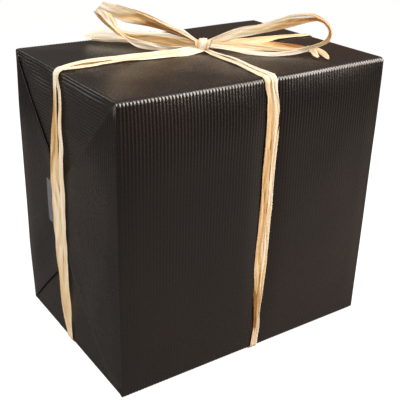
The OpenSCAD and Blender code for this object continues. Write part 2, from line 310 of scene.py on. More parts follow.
def raffia_straw():
    """Raffia: cream where flat, tan to orange-brown painted shade in the folds, with lengthwise fibre
    lines.

    The strand attribute holds the length along, the place across in mm and the tone, painted shade, from 0
    to 1.
    """
    if "raffia straw" in bpy.data.materials:
        return bpy.data.materials["raffia straw"]
    looks = bpy.context.scene.gift_raffia
    material, tree, shader = new_material("raffia straw")
    strand = add(tree, "ShaderNodeAttribute", (-1200, 0), attribute_name="strand")
    split = add(tree, "ShaderNodeSeparateXYZ", (-1000, -200))
    stretch = add(tree, "ShaderNodeVectorMath", (-1000, 100), operation="MULTIPLY")
    stretch.inputs[1].default_value = (0.03, 1.5, 3.0)
    lines = add(tree, "ShaderNodeTexNoise", (-800, 100), in_Scale=1.0, in_Detail=4.0, in_Roughness=0.6)
    patch = add(tree, "ShaderNodeVectorMath", (-1000, 300), operation="MULTIPLY")
    patch.inputs[1].default_value = (0.035, 0.22, 5.0)
    cloud = add(tree, "ShaderNodeTexNoise", (-800, 300), in_Scale=1.0, in_Detail=2.0)
    streak = add(tree, "ShaderNodeMath", (-600, 100), operation="MULTIPLY_ADD", in_1=0.30, in_2=-0.15)
    blotch = add(tree, "ShaderNodeMath", (-600, 300), operation="MULTIPLY_ADD", in_1=0.7, in_2=-0.35)
    tone = add(tree, "ShaderNodeMath", (-400, 0), operation="ADD")
    # Adds the strand's tone, painted shade of folds and shaded strands, to the random streaks and blotches
    total = add(tree, "ShaderNodeMath", (-250, 0), operation="ADD", use_clamp=True)
    # From the straw's own cream and straw colour to tan and shade, the painted shade of folds and strands
    # in shadow
    colour = ramp(tree, (-100, 100), [
        (0.12, tuple(looks.light)),
        (0.42, tuple(looks.straw)),
        (0.7, tuple(looks.tan)),
        (0.97, tuple(looks.shade)),
    ])
    bump = add(tree, "ShaderNodeBump", (0, -300), in_Strength=0.5, in_Distance=0.0002)
    wire(
        tree, (strand, "Vector", split, 0), (strand, "Vector", stretch, 0),
        (strand, "Vector", patch, 0), (stretch, 0, lines, "Vector"), (patch, 0, cloud, "Vector"),
        (lines, "Fac", streak, 0), (cloud, "Fac", blotch, 0), (streak, 0, tone, 0),
        (blotch, 0, tone, 1), (tone, 0, total, 0), (split, "Z", total, 1), (total, 0, colour, 0),
        (colour, 0, shader, "Base Color"), (colour, 0, shader, "Emission Color"),
        (lines, "Fac", bump, "Height"), (bump, 0, shader, "Normal"),
    )
    shader.inputs["Roughness"].default_value = 0.6
    shader.inputs["Specular IOR Level"].default_value = 0.2
    # Painted light: a faint glow in the straw's own colour lifts its shade, standing in for light that
    # thin straw lets through
    shader.inputs["Emission Strength"].default_value = 0.13
    return material


def clear_tape():
    """Matt clear tape: mostly see-through, with a faint milky grain."""
    if "clear tape" in bpy.data.materials:
        return bpy.data.materials["clear tape"]
    material, tree, shader = new_material("clear tape")
    fibres = place_fibres(tree, (-500, 0), 900.0, 60.0)
    haze = ramp(tree, (-200, 0), [(0.3, (0.11, 0.11, 0.11)), (0.7, (0.16, 0.16, 0.16))])
    grain = ramp(tree, (-200, -250), [(0.3, (0.3, 0.3, 0.3)), (0.7, (0.42, 0.42, 0.42))])
    wire(
        tree, (fibres, "Cloud", haze, 0), (haze, 0, shader, "Alpha"), (fibres, "Fine", grain, 0),
        (grain, 0, shader, "Roughness"),
    )
    shader.inputs["Base Color"].default_value = (0.55, 0.55, 0.56, 1)
    return material


def carton_board():
    """Kraft board: brown, matt, speckled, with the faint lines of the fluting behind the liner."""
    if "carton board" in bpy.data.materials:
        return bpy.data.materials["carton board"]
    material, tree, shader = new_material("carton board")
    fibres = place_fibres(tree, (-700, 0), 700.0, 14.0)
    place = add(tree, "ShaderNodeTexCoord", (-900, -300))
    flutes = add(tree, "ShaderNodeTexWave", (-600, -300), in_Scale=42.0, in_Distortion=0.6)
    colour = ramp(tree, (-300, 200), [(0.3, (0.30, 0.185, 0.095)), (0.7, (0.42, 0.275, 0.15))])
    bump = add(tree, "ShaderNodeBump", (0, -300), in_Strength=0.3, in_Distance=0.0002)
    rough = ramp(tree, (-300, -50), [(0.3, (0.75, 0.75, 0.75)), (0.7, (0.9, 0.9, 0.9))])
    wire(
        tree, (place, "Object", flutes, "Vector"), (fibres, "Height", colour, 0),
        (colour, 0, shader, "Base Color"), (fibres, "Fine", rough, 0), (rough, 0, shader, "Roughness"),
        (flutes, "Fac", bump, "Height"), (bump, 0, shader, "Normal"),
    )
    return material


def packing_tape():
    """Tan packing tape: glossy, with faint lengthwise lines."""
    if "packing tape" in bpy.data.materials:
        return bpy.data.materials["packing tape"]
    material, tree, shader = new_material("packing tape")
    fibres = place_fibres(tree, (-600, 0), 300.0, 30.0)
    colour = ramp(tree, (-300, 0), [(0.3, (0.40, 0.27, 0.14)), (0.7, (0.50, 0.36, 0.2))])
    wire(
        tree, (fibres, "Cloud", colour, 0), (colour, 0, shader, "Base Color"),
    )
    shader.inputs["Roughness"].default_value = 0.2
    return material


# ---- the paper ----

# Outline of each side flap from its fold: [distance from the fold, lower edge, upper edge] in mm up
# from the bottom. The broad one is folded last and lies outermost.
LAST_FLAP = [
    [0, 2.0, 217.6], [5, 4.5, 213], [16, 9, 202], [37, 26, 182], [52, 43, 167.8], [69, 63, 151.5],
    [87, 81, 134.2], [102.8, 95, 119.5],
]
FIRST_FLAP = [
    [0, 2.0, 217.6], [5, 6.8, 211], [23, 24.5, 189.5], [40, 41, 169.5], [57, 57, 149.5], [70, 69, 136],
    [87, 83, 124], [102.8, 96, 117],
]
# Rows of the web between a side flap's slanting edge and the edge of the top or bottom flap:
# [share of the way across, share of the drop to the lower layer, bulge of the fold]
WEB = np.array([
    [0.0, 0.15, 0.7], [0.0, 0.5, 1.0], [0.0, 0.85, 0.7], [0.03, 1.0, 0.0], [0.3, 1.0, 0.0],
    [0.65, 1.0, 0.0], [0.95, 1.0, 0.0],
])
COLUMNS_PER_RIB = 5
# The sheet's panels by number. 4 to 7 are the corner rows that follow each of them.
UNDER, BACK, TOP, FRONT = range(4)
CORNER = len(WEB)
# Soft creases by panel, as [u, long, u, long, height, half width] in mm.
# long is the depth y on the top and the height z on the others; u past 112 is on an end flap.
CREASES = {
    TOP: [
        [-104, 66, -60, 30, 1.0, 11], [-95, -20, -62, -60, 0.8, 9], [-48, -35, -10, -66, 0.9, 9],
        [-20, -28, -62, -44, 0.6, 7], [30, 60, 70, 30, 0.6, 10], [86, 10, 100, -20, 0.6, 9],
        [-130, 30, -150, 0, 1.0, 7], [-120, 56, -146, 36, 1.1, 6], [-122, -40, -150, -12, 0.7, 8],
        [-118, 15, -120, -62, 0.7, 5],
    ],
    FRONT: [
        [-150, 55, -130, 100, 1.0, 13], [-168, 100, -150, 104, 0.8, 10], [-90, 170, 0, 190, 0.5, 16],
        [40, 120, 95, 170, 0.5, 16], [-172, 150, -140, 170, 0.7, 12],
    ],
    BACK: [[-60, 60, 40, 120, 0.5, 16], [-150, 90, -128, 60, 0.9, 12], [70, 150, 100, 190, 0.6, 12]],
}


def spaced(lo, hi, count, near):
    """count places from lo to hi, and extra ones close to a band that crosses at near."""
    even = lo + (hi - lo) * (0.5 - 0.5 * np.cos(np.linspace(0.12, 0.88, count) * math.pi))
    even = lo + (hi - lo) * (even - even[0]) / (even[-1] - even[0])
    extra = near + np.array([-12.0, -7.0, -3.0, 0.0, 3.0, 7.0, 12.0])
    return np.unique(np.round(np.concatenate([even, extra]), 3))


def sheet_rows():
    """The rows round the box: each one's line (y, z), outward angle, panel number and share.

    The lines run along the box TURN_R inside the paper. Each panel's rows are followed by the corner
    rows that turn to the next panel. share is a row's place in its panel, or its number in a corner.
    """
    in_d, in_lo, in_hi = HALF_D - TURN_R, PAPER_LO + TURN_R, PAPER_HI - TURN_R
    across = spaced(-in_d, in_d, 12, KNOT_Y)
    height = np.linspace(in_lo, in_hi, 21)
    panels = [
        (np.stack([across, 0 * across + in_lo], 1), -90),
        (np.stack([0 * height + in_d, height], 1), 0),
        (np.stack([across[::-1], 0 * across + in_hi], 1), 90),
        (np.stack([0 * height - in_d, height[::-1]], 1), 180),
    ]
    line, angle, panel, share = [], [], [], []
    for index, (place, turn) in enumerate(panels):
        count = len(place)
        line += [place, np.repeat(place[-1:], CORNER, 0)]
        angle += [np.full(count, turn), turn + 90 * np.arange(1, CORNER + 1) / (CORNER + 1)]
        panel += [np.full(count, index), np.full(CORNER, index + 4)]
        share += [np.linspace(0, 1, count), np.arange(CORNER)]
    line, angle, panel, share = (np.concatenate(part) for part in (line, angle, panel, share))
    return line, np.radians(angle), panel, share


def side_flap(outline, last, inward, t, y, z, s, looks):
    """One side flap's rows over the end: their y, z, lift off the layer below, and the flap's edges.

    A row keeps its share t of the way between the flap's lower and upper edge, which follow the
    outline with the distance s past the fold. The lift falls off from both edges inwards, and the
    tape holds it down near the free end. The last flap lies flatter.
    """
    low, high = smooth(outline, s).T
    slanted = low[None, :] + (high - low)[None, :] * t[:, None]
    from_high = (high[None, :] - slanted) * 0.72
    from_low = (slanted - low[None, :]) * 0.72
    held = (1 - 0.9 * ease((s - 70) / 15))[None, :]
    top_lift = looks.edge_lift / MM * (0.55 if last else 1.0) * held
    low_lift = looks.edge_lift / MM * (0.8 if last else 1.25) * held
    raised = top_lift * (1 - ease(from_high / 11)) + low_lift * (1 - ease(from_low / 9))
    y = y + inward * s[None, :]
    z = np.where(s[None, :] > 0, slanted, z)
    return y, z, raised * ease(s / 6.0)[None, :], (low, high, top_lift, low_lift)


def web_rows(web, edges, side, upper, start, s, x, y, z):
    """The corner rows as the web folded under a side flap's edge: their x, y, z and share of ribs.

    A row goes its share of the way from the flap's edge to the line where the sheet's corner meets
    the end, and bulges at the fold. It drops from the flap at x = start to just under the layer.
    side is 1 for the back flap and -1 for the front one, and upper tells its upper edge.
    """
    low, high, top_lift, low_lift = edges
    edge_z = high if upper else low
    grow = ease(s / 6.0)[None, :]
    side_y = (HALF_D - END_R) * side
    edge_y = side_y - side * s
    root_z = (PAPER_HI - END_R - s) if upper else (PAPER_LO + END_R + s)
    way = web[:, :1]
    bulge = 0.5 * web[:, 2:3] * grow * 0.7
    web_y = edge_y + (side_y - edge_y) * way - bulge * side
    web_z = edge_z + (root_z - edge_z) * way + bulge * (1.0 if upper else -1.0)
    here = np.broadcast_to(s[None, :] > 0, web_y.shape)
    settle = ease(way / 0.3)
    drop = web[:, 1:2] * 0.55
    standing = start + (top_lift if upper else low_lift) * grow - drop
    flat_x = standing * (1 - settle) + (start - 0.25) * settle
    blend_in = ease(s / 3.0)[None, :]
    x = x * (1 - blend_in) + flat_x * blend_in
    ribs = np.where(here, np.clip(1 - web[:, 1:2] * 2, 0, 1), 1.0)
    return x, np.where(here, web_y, y), np.where(here, web_z, z), ribs


def folded_end(end, line, angle, panel, far, straight, looks):
    """One half of the sheet, from the middle of the box over its end (-1 left, 1 right).

    far is the distance over the paper from the middle. Returns the points, the sleeve's normals and
    the share of rib height that each point keeps.
    """
    in_d, in_lo, in_hi = HALF_D - TURN_R, PAPER_LO + TURN_R, PAPER_HI - TURN_R
    quarter = END_R * math.pi / 2
    turning = np.clip((far - straight) / quarter, 0, 1) * math.pi / 2
    s = np.clip(far - straight - quarter, 0, None)
    last = BACK if end > 0 else FRONT
    first = FRONT if end > 0 else BACK
    # Layers down from the outermost: the last side flap, the first one, and the flaps under them
    layer = {UNDER: 2.0, TOP: 2.0, first: 1.0, last: 0.0}
    mix = (np.arange(CORNER) + 1) / (CORNER + 1)
    depth = np.zeros(len(panel))
    for index in range(4):
        depth[panel == index] = layer[index]
        depth[panel == index + 4] = layer[index] + (layer[(index + 1) % 4] - layer[index]) * mix
    outer = HALF_W - depth * LAYER
    inset = (outer - HALF_W)[:, None] * ease((far - (straight - 12)) / 12)[None, :]
    x = np.minimum(far, straight)[None, :] + inset + END_R * np.sin(turning)[None, :]
    radius = TURN_R * np.cos(turning)[None, :]
    wider = (TURN_R - END_R) * (1 - np.cos(turning))[None, :]
    middle = (in_lo + in_hi) / 2
    stretch = 1 + wider / (in_hi - middle)
    y = line[:, :1] * (1 + wider / in_d) + radius * np.cos(angle)[:, None]
    z = middle + (line[:, 1:] - middle) * stretch + radius * np.sin(angle)[:, None]
    normal = np.stack([
        np.broadcast_to(np.sin(turning) * end, x.shape),
        np.cos(turning)[None, :] * np.cos(angle)[:, None],
        np.cos(turning)[None, :] * np.sin(angle)[:, None],
    ], -1)
    ribs = np.ones(x.shape)
    lift = np.zeros(x.shape)
    # Top and bottom flaps go straight up or down the end
    z[panel == UNDER] += s[None, :]
    z[panel == TOP] -= s[None, :]
    # Side flaps taper between their slanting edges
    edges = {}
    for index, outline in ((first, FIRST_FLAP), (last, LAST_FLAP)):
        own = panel == index
        t = (line[own, 1] - in_lo) / (in_hi - in_lo)
        inward = -1 if index == BACK else 1
        y[own], z[own], lift[own], edges[index] = side_flap(
            outline, index == last, inward, t, y[own], z[own], s, looks)
    # Webs: the corner rows between each side flap and its neighbours
    for index in range(4):
        own = panel == index + 4
        before = index in (UNDER, TOP)
        flap = (index + 1) % 4 if before else index
        upper = index in (BACK, TOP)
        x[own], y[own], z[own], ribs[own] = web_rows(
            WEB[::-1] if before else WEB, edges[flap], 1 if flap == BACK else -1, upper,
            HALF_W - layer[flap] * LAYER, s, x[own], y[own], z[own])
    return np.stack([(x + lift) * end, y, z], -1), normal, ribs


def paper_points(looks):
    """The whole sheet as one grid: rows go round the box, columns run from end to end.

    Along a row, u is the distance over the paper from the middle of the box. Out to the edge it lies
    on the rounded rectangle of the sleeve. Then it turns a quarter circle over the end's edge, and
    past that it is a flap: rows of the top and bottom stay parallel, rows of the front and back close
    in between the flap's slanting edges, and the corner rows become the web folded under that edge.
    A cosine along u lifts the ribs.
    """
    line, angle, panel, share = sheet_rows()
    pitch = looks.rib_pitch / MM
    step = pitch / COLUMNS_PER_RIB
    straight = HALF_W - END_R
    quarter = END_R * math.pi / 2
    outward = np.concatenate([
        np.arange(0, straight - 0.3, step),
        straight + quarter * np.linspace(0, 1, 9),
        straight + quarter + np.append(np.arange(step, REACH - 0.3, step), REACH),
    ])
    u = np.concatenate([-outward[:0:-1], outward])
    far = np.abs(u)
    s = np.clip(far - straight - quarter, 0, None)
    rows, cols = len(panel), len(u)
    points = np.zeros((rows, cols, 3))
    normal = np.zeros((rows, cols, 3))
    ribs = np.ones((rows, cols))
    for end, own in ((-1, u < 0), (1, u >= 0)):
        points[:, own], normal[:, own], ribs[:, own] = folded_end(
            end, line, angle, panel, far[own], straight, looks)
    # Slow unevenness, only outwards, and none on the folded edges themselves
    upright = np.isin(panel, (BACK, FRONT))[:, None]
    flat_zone = (panel < 4).astype(float)[:, None]
    long_way = np.where(np.isin(panel, (UNDER, TOP))[:, None], points[..., 1], points[..., 2])
    inside_panel = ease(np.minimum(share, 1 - share) / 0.12)[:, None] * flat_zone
    uneven = swell(u[None, :], long_way + 60 * panel[:, None], 5, 85.0) * looks.unevenness / MM
    on_sleeve = ease((straight - far) / 14)[None, :]
    on_flap = (ease((s - 5) / 10) * 0.45)[None, :]
    rise = uneven * inside_panel * (on_sleeve + on_flap)
    rise = rise + puff(panel, share, line, u, s, straight)
    for index, lines in CREASES.items():
        rise = rise + creases(u[None, :], long_way, lines) * (panel == index)[:, None] * inside_panel
    # The band from front to back presses the paper flat
    pressed = 1 - 0.85 * np.exp(-((u - KNOT_X - 1) / 11) ** 2)
    rise = rise * pressed[None, :]
    # Ribs, worn in places, and fainter towards the bottom of the upright panels
    wave = np.cos(2 * math.pi * u / pitch)
    wave = np.sign(wave) * np.abs(wave) ** 0.7
    worn = 0.45 + 0.55 * swell(u[None, :], long_way + 60 * panel[:, None], 9, 60.0)
    up = points[..., 2]
    low_down = 0.35 + 0.25 * ease((up - 40) / 100) + 0.75 * ease((up - 150) / 50)
    low_down = np.where(upright, low_down, 1.1)
    high_up = np.where(upright, ease((up - 150) / 40), 0.0)
    ribs = ribs * (worn + (1 - worn) * high_up) * low_down
    rise = rise + wave[None, :] * ribs * looks.rib_depth / MM / 2
    points = loosen(points + normal * rise[..., None])
    marks = np.stack([
        np.broadcast_to(u[None, :], (rows, cols)),
        long_way,
        np.broadcast_to(wave[None, :] * 0.5 + 0.5, (rows, cols)) * ribs,
    ], -1)
    return points, marks, rows, cols


def puff(panel, share, line, u, s, straight):
    """How far, in mm, the paper bulges outwards between the folded edges it hangs from.

    The front starts to bulge already on its top corner, so that corner ends in a slope. Both sides
    of every upright edge at the ends curve in towards the edge, over 14 mm.
    """
    front, top_corner = panel == FRONT, panel == TOP + 4
    depth = np.clip((line[:, 1].max() - line[:, 1]) / 16, 0, 1)
    low = ease((line[:, 1] - line[:, 1].min()) / 90)
    amount = np.where(front, (0.5 + 1.25 * (1 - (1 - depth) ** 2)) * low, 0.0)
    amount = np.where(top_corner, 0.5 * ((share + 1) / (CORNER + 1)) ** 2, amount)
    inner = 0.25 + 0.75 * ease((straight - np.abs(u)) / 45)
    bulge = amount[:, None] * (inner * (s == 0))[None, :]
    near = np.clip((straight - np.abs(u)) / 14, 0, 1)
    upright = np.isin(panel, (BACK, FRONT)).astype(float)[:, None]
    middle = ease(np.minimum(share, 1 - share) / 0.1)[:, None]
    rounded = 0.7 * (1 - (1 - near) ** 2) * (s == 0) + 0.6 * (1 - (1 - np.clip(s / 13, 0, 1)) ** 2)
    return bulge + rounded[None, :] * upright * middle * (1 - 0.5 * ease(s / 60))[None, :]


def seam_strip():
    """The end of the sheet on the underside: it steps down 0.4 mm and runs on over the first layer."""
    x = np.linspace(-(HALF_W - TURN_R - 1), HALF_W - TURN_R - 1, 435)
    path = np.array([[29.0, -0.02], [30.0, -0.1], [31.0, -0.34], [32.0, -0.4], [43.0, -0.4], [54.9, -0.4]])
    grid = np.zeros((len(path), len(x), 3))
    grid[..., 0] = x
    grid[..., 1] = path[:, :1]
    grid[..., 2] = PAPER_LO + path[:, 1:]
    marks = grid.copy()
    marks[..., 2] = 0.5
    return grid, marks


def end_height(y, z, end):
    """How far out a tape lies on the end (-1 left, 1 right) at (y, z), in mm from the middle.

    It lies on the first flap, and steps up one layer smoothly where the last flap is under it.
    """
    s = HALF_D - END_R - end * y
    low, high = np.moveaxis(smooth(LAST_FLAP, s), -1, 0)
    inside = ease((REACH + 1.2 - s) / 1.4) * ease((high + 1.2 - z) / 1.4) * ease((z - low + 1.2) / 1.4)
    return HALF_W - LAYER + TAPE_OUT + LAYER * inside


# ---- raffia ----

def ribbon(first_edge, second_edge, q, lanes, tone, seed, pleat=0.45, bow=0.0, fray=(0.0, 0.0)):
    """One raffia strand as a grid between two smooth edge curves.

    q is a grid of places, its rows along the strand and its columns across. A point is the mix of the
    two edges by its share across, pushed along the strand's normal by a bow (a parabola) and by
    pleats (three cosines across, whose phases wander along the strand). The tone mark is painted
    shade: tone gives it along the strand, and it is painted darker in the hollows. fray moves the two
    ends of each lane back by a random share.
    """
    rng = np.random.default_rng(seed)
    t = np.linspace(0, 1, lanes)[None, :]
    along = q[:, None] + 0 * t
    span = q[-1] - q[0]
    cut = rng.uniform(0, 1, (2, lanes))
    from_start = ease((along - q[0]) / (0.2 * span))
    from_end = ease((q[-1] - along) / (0.2 * span))
    along = along + (1 - from_start) * cut[0] * fray[0] * span - (1 - from_end) * cut[1] * fray[1] * span
    one = first_edge(along)
    two = second_edge(along)
    width = np.linalg.norm(two - one, axis=-1)
    middle = (one + two) / 2
    length = np.cumsum(np.linalg.norm(np.gradient(middle[:, lanes // 2], axis=0), axis=-1))[:, None]
    wander = [swell(length, 0 * t, seed * 7 + k, wave) for k, wave in enumerate((60, 38, 25, 30))]
    narrow = 0.5 + (t - 0.5) * (1 + 0.16 * (wander[3] - 0.5))
    point = one + (two - one) * narrow[..., None]
    tangent = np.gradient(middle, axis=0)
    normal = np.cross(tangent, two - one)
    normal /= np.maximum(np.linalg.norm(normal, axis=-1, keepdims=True), 1e-9)
    hollow = (
        0.6 * np.cos(2 * math.pi * (1.1 * t + 1.8 * wander[0]))
        + 0.32 * np.cos(2 * math.pi * (2.1 * t + 2.4 * wander[1]))
        + 0.1 * np.cos(2 * math.pi * (4.3 * t + 3.0 * wander[2]))
    )
    size = np.minimum(pleat, 0.085 * width)
    push = size * hollow + bow * 4 * t * (1 - t) * width
    point = point + normal * push[..., None]
    # Painted shade: the tone mark rises in the hollows of the pleats, where shade falls
    shade = tone(along) + 0.14 - 0.17 * hollow
    marks = np.stack([length + 0 * t + seed * 100, (t - 0.5) * width, np.clip(shade, 0, 1)], -1)
    return point, grid_faces(len(q), lanes), marks


def edge_pair(stations):
    """Two edge curves from rows of [x, y, height, x, y, height] counted from under the knot."""
    rows = np.asarray(stations, float)
    place = np.arange(len(rows), dtype=float)[:, None]
    shift = np.array([KNOT_X, KNOT_Y, PAPER_HI])
    first = np.hstack([place, rows[:, :3] + shift])
    second = np.hstack([place, rows[:, 3:6] + shift])

    def first_edge(q):
        """The first edge's points at the places q."""
        return smooth(first, q)

    def second_edge(q):
        """The second edge's points at the places q."""
        return smooth(second, q)

    return first_edge, second_edge


def free_ribbon(stations, tones, seed, steps=14, lanes=17, **shape):
    """A strand through given edge points, with tone stations of [place, tone]."""
    first, second = edge_pair(stations)
    q = np.linspace(0, len(stations) - 1, (len(stations) - 1) * steps + 1)

    def tone(place):
        """The tone at the places along the strand."""
        return smooth(tones, place)[..., 0]

    return ribbon(first, second, q, lanes, tone, seed, **shape)


def round_route(half, start, q):
    """Inner point and outward normal, in the plane (h, z), on the way round the box at places q.

    Leg 0 runs on top from start towards -h, leg 1 down, leg 2 underneath towards +h, leg 3 up and
    leg 4 on top back to start. The point keeps to the box that is TURN_R smaller, and the normal
    turns by 45 degrees to each side of a corner, so the two give straight runs and round corners.
    """
    corners = np.array([
        [start, PAPER_HI], [-half, PAPER_HI], [-half, PAPER_LO], [half, PAPER_LO],
        [half, PAPER_HI], [start, PAPER_HI],
    ])
    leg = np.clip(np.floor(q).astype(int), 0, 4)
    share = q - leg
    a, b = corners[leg], corners[leg + 1]
    point = a + (b - a) * share[..., None]
    size = np.linalg.norm(b - a, axis=-1)
    to_next = np.where(leg < 4, np.clip(1 - (1 - share) * size / TURN_R, 0, 1), 0)
    from_last = np.where(leg > 0, np.clip(1 - share * size / TURN_R, 0, 1), 0)
    angle = np.radians(90 + 90 * leg + 45 * (to_next - from_last))
    inner = np.stack([
        np.clip(point[..., 0], TURN_R - half, half - TURN_R),
        np.clip(point[..., 1], PAPER_LO + TURN_R, PAPER_HI - TURN_R),
    ], -1)
    return inner, np.stack([np.cos(angle), np.sin(angle)], -1)


def band_ribbon(half, start, axis, stations, seed, lanes=17, per_leg=150, **shape):
    """A strand of a band, from rows of [place, across, lift, width, roll in degrees, tone]."""

    def edge(sign):
        """The edge curve on one side (-1 or 1) of the strand's middle line."""
        def at(q):
            """Half a width aside and, with the roll, up or down from the middle line."""
            across, lift, width, roll = np.moveaxis(smooth(stations, q)[..., :4], -1, 0)
            inner, normal = round_route(half, start, q)
            turn = np.radians(roll)
            place = inner + normal * (TURN_R + lift + sign * width / 2 * np.sin(turn))[..., None]
            aside = across + sign * width / 2 * np.cos(turn)
            flat = (place[..., 0], aside) if axis == "x" else (aside, place[..., 0])
            return np.stack([*flat, place[..., 1]], -1)
        return at

    def tone(place):
        """The tone at the places along the strand."""
        return smooth(stations, place)[..., 4]

    first, last = stations[0][0], stations[-1][0]
    even = np.linspace(first, last, int((last - first) * per_leg) + 2)
    bends = np.concatenate([np.linspace(k - 0.05, k + 0.05, 25) for k in range(1, 5)])
    bends = bends[(bends > first) & (bends < last)]
    q = np.unique(np.round(np.concatenate([even, bends]), 5))
    return ribbon(edge(-1), edge(1), q, lanes, tone, seed, **shape)


# The band from end to end. Rows: [leg and share of it, y, lift off the paper, width, roll, tone].
# Leg 0 is the top left of the knot, 1 the left end, 2 underneath, 3 the right end, 4 the top right.
# The tone column is painted shade: higher, so darker, where a strand lies in shadow
LONG_NEAR = [
    [0, 1.5, 3, 7, 25, 0.1], [0.12, -0.3, 2, 7.5, 20, 0.05], [0.25, 0.2, 1.8, 7, 15, 0.15],
    [0.4, 0.8, 1.8, 5.5, 15, 0.15], [0.55, 2.6, 2, 4.2, 10, 0.15], [0.72, 1.2, 1.8, 4, 5, 0.15],
    [0.86, 0.4, 1.5, 4.2, 5, 0.1], [0.96, 1.5, 1.2, 5, 0, 0.05], [1.03, 0.8, 1.2, 5, 0, 0.08],
    [1.07, -1, 1.2, 4.4, 0, 0.08], [1.1, -1.8, 1.3, 4.2, 0, 0.13], [1.15, -0.3, 1.4, 5, 0, 0.13],
    [1.19, 0.2, 1.5, 6.2, 0, 0.13], [1.27, 0.6, 1.6, 6.8, 0, 0.13], [1.32, 1.6, 1.7, 7.4, 0, 0.13],
    [1.4, 2.2, 1.7, 8.2, 0, 0.13], [1.5, 3.6, 1.6, 8.2, 0, 0.16], [1.59, 4.2, 1.5, 7.8, 0, 0.18],
    [1.68, 4.5, 1.4, 7, 0, 0.2], [1.77, 5.2, 1.3, 6, 10, 0.28], [1.82, 4.2, 1.2, 5.5, 20, 0.33],
    [1.87, 2.6, 1.1, 4.2, 20, 0.28], [1.92, 3, 1, 3.4, 10, 0.18], [1.97, 4, 0.7, 4.5, 0, 0.18],
    [2.03, 2.5, 0.35, 5.5, 0, 0.2], [2.3, 1, 0.3, 6, 0, 0.2], [2.7, 1.5, 0.3, 6, 0, 0.2],
    [2.97, 2.5, 0.35, 5.5, 0, 0.2], [3.05, 2.5, 0.9, 5.5, 0, 0.15], [3.3, 0.5, 1.3, 7, 0, 0.1],
    [3.6, -1, 1.4, 8, 0, 0.1], [3.85, 0.8, 1.3, 6.5, 0, 0.1], [3.97, 2.5, 1.2, 5, 0, 0.1],
    [4.03, 2.6, 1.2, 4, 0, 0.25], [4.12, 2.2, 1.3, 3.6, 0, 0.25], [4.3, 3.4, 1.6, 5, 5, 0.25],
    [4.45, 3, 1.8, 7, 10, 0.25], [4.7, 4.5, 2.6, 6.5, 20, 0.25], [5, 4, 4, 6, 25, 0.1],
]
LONG_FAR = [
    [0, 4, 3.6, 6.5, 25, 0.15], [0.12, 2.6, 2.9, 6, 25, 0.05], [0.25, 3.6, 2.6, 5.4, 22, 0.1],
    [0.4, 5.4, 2.5, 4.8, 20, 0.1], [0.55, 7.6, 2.5, 4.4, 20, 0.1], [0.7, 9.2, 2.4, 4.4, 15, 0.1],
    [0.82, 8.8, 2.2, 4.4, 10, 0.05], [0.91, 6.2, 1.8, 4.6, 8, 0.05], [0.96, 4.6, 1.5, 5, 5, 0.05],
    [1.03, 4.6, 1.6, 5, 0, 0.05], [1.07, 4.2, 1.8, 5, 0, 0.3], [1.1, 5, 1.8, 5.4, 0, 0.45],
    [1.15, 7.2, 1.8, 7, 0, 0.55], [1.19, 9.3, 1.8, 8.8, 0, 0.55], [1.27, 12, 1.8, 12.2, 0, 0.5],
    [1.32, 12.8, 1.8, 13.5, 0, 0.45], [1.4, 13.8, 1.8, 14.6, 0, 0.3], [1.5, 14.2, 1.7, 14, 0, 0.22],
    [1.59, 14.6, 1.6, 13.8, 0, 0.2], [1.68, 13.6, 1.5, 12.6, 0, 0.25], [1.77, 12.2, 1.4, 10.2, 0, 0.35],
    [1.82, 11.8, 1.3, 9, 10, 0.35], [1.87, 11, 1.2, 6.4, 25, 0.4], [1.92, 9.6, 1.1, 7, 10, 0.3],
    [1.97, 7, 0.9, 6.5, 0, 0.2], [2.03, 4.5, 0.55, 6, 0, 0.2], [2.3, 4.5, 0.5, 6.5, 0, 0.2],
    [2.7, 3.8, 0.5, 6.5, 0, 0.2], [2.97, 4.5, 0.55, 6, 0, 0.2], [3.05, 5, 1, 6, 0, 0.2],
    [3.3, 7, 1.5, 8, 0, 0.3], [3.6, 7.5, 1.6, 9, 0, 0.35], [3.85, 6, 1.5, 7, 0, 0.2],
    [3.97, 4.2, 1.4, 5, 0, 0.1], [4.03, 3.8, 1.4, 4, 5, 0.25], [4.12, 4.2, 1.6, 3.5, 15, 0.35],
    [4.3, 5.6, 2, 4.5, 20, 0.45], [4.45, 6, 2.3, 5.5, 25, 0.45], [4.7, 6.5, 3.4, 5.5, 30, 0.35],
    [5, 5, 5, 5, 30, 0.2],
]
# A strand underneath, painted dark by a high tone as the shade in the gap between the two above
LONG_UNDER = [
    [0.1, 1.6, 1.2, 4, 20, 0.6], [0.25, 2.2, 1.2, 4.4, 20, 0.75], [0.4, 3.2, 1.2, 5, 15, 0.85],
    [0.55, 5.2, 1.2, 5.5, 10, 0.9], [0.7, 5.2, 1.2, 6.5, 8, 0.9], [0.82, 4.8, 1.2, 5.5, 8, 0.8],
    [0.9, 3.6, 1, 4, 5, 0.6], [0.97, 2.5, 0.8, 3, 5, 0.5],
]
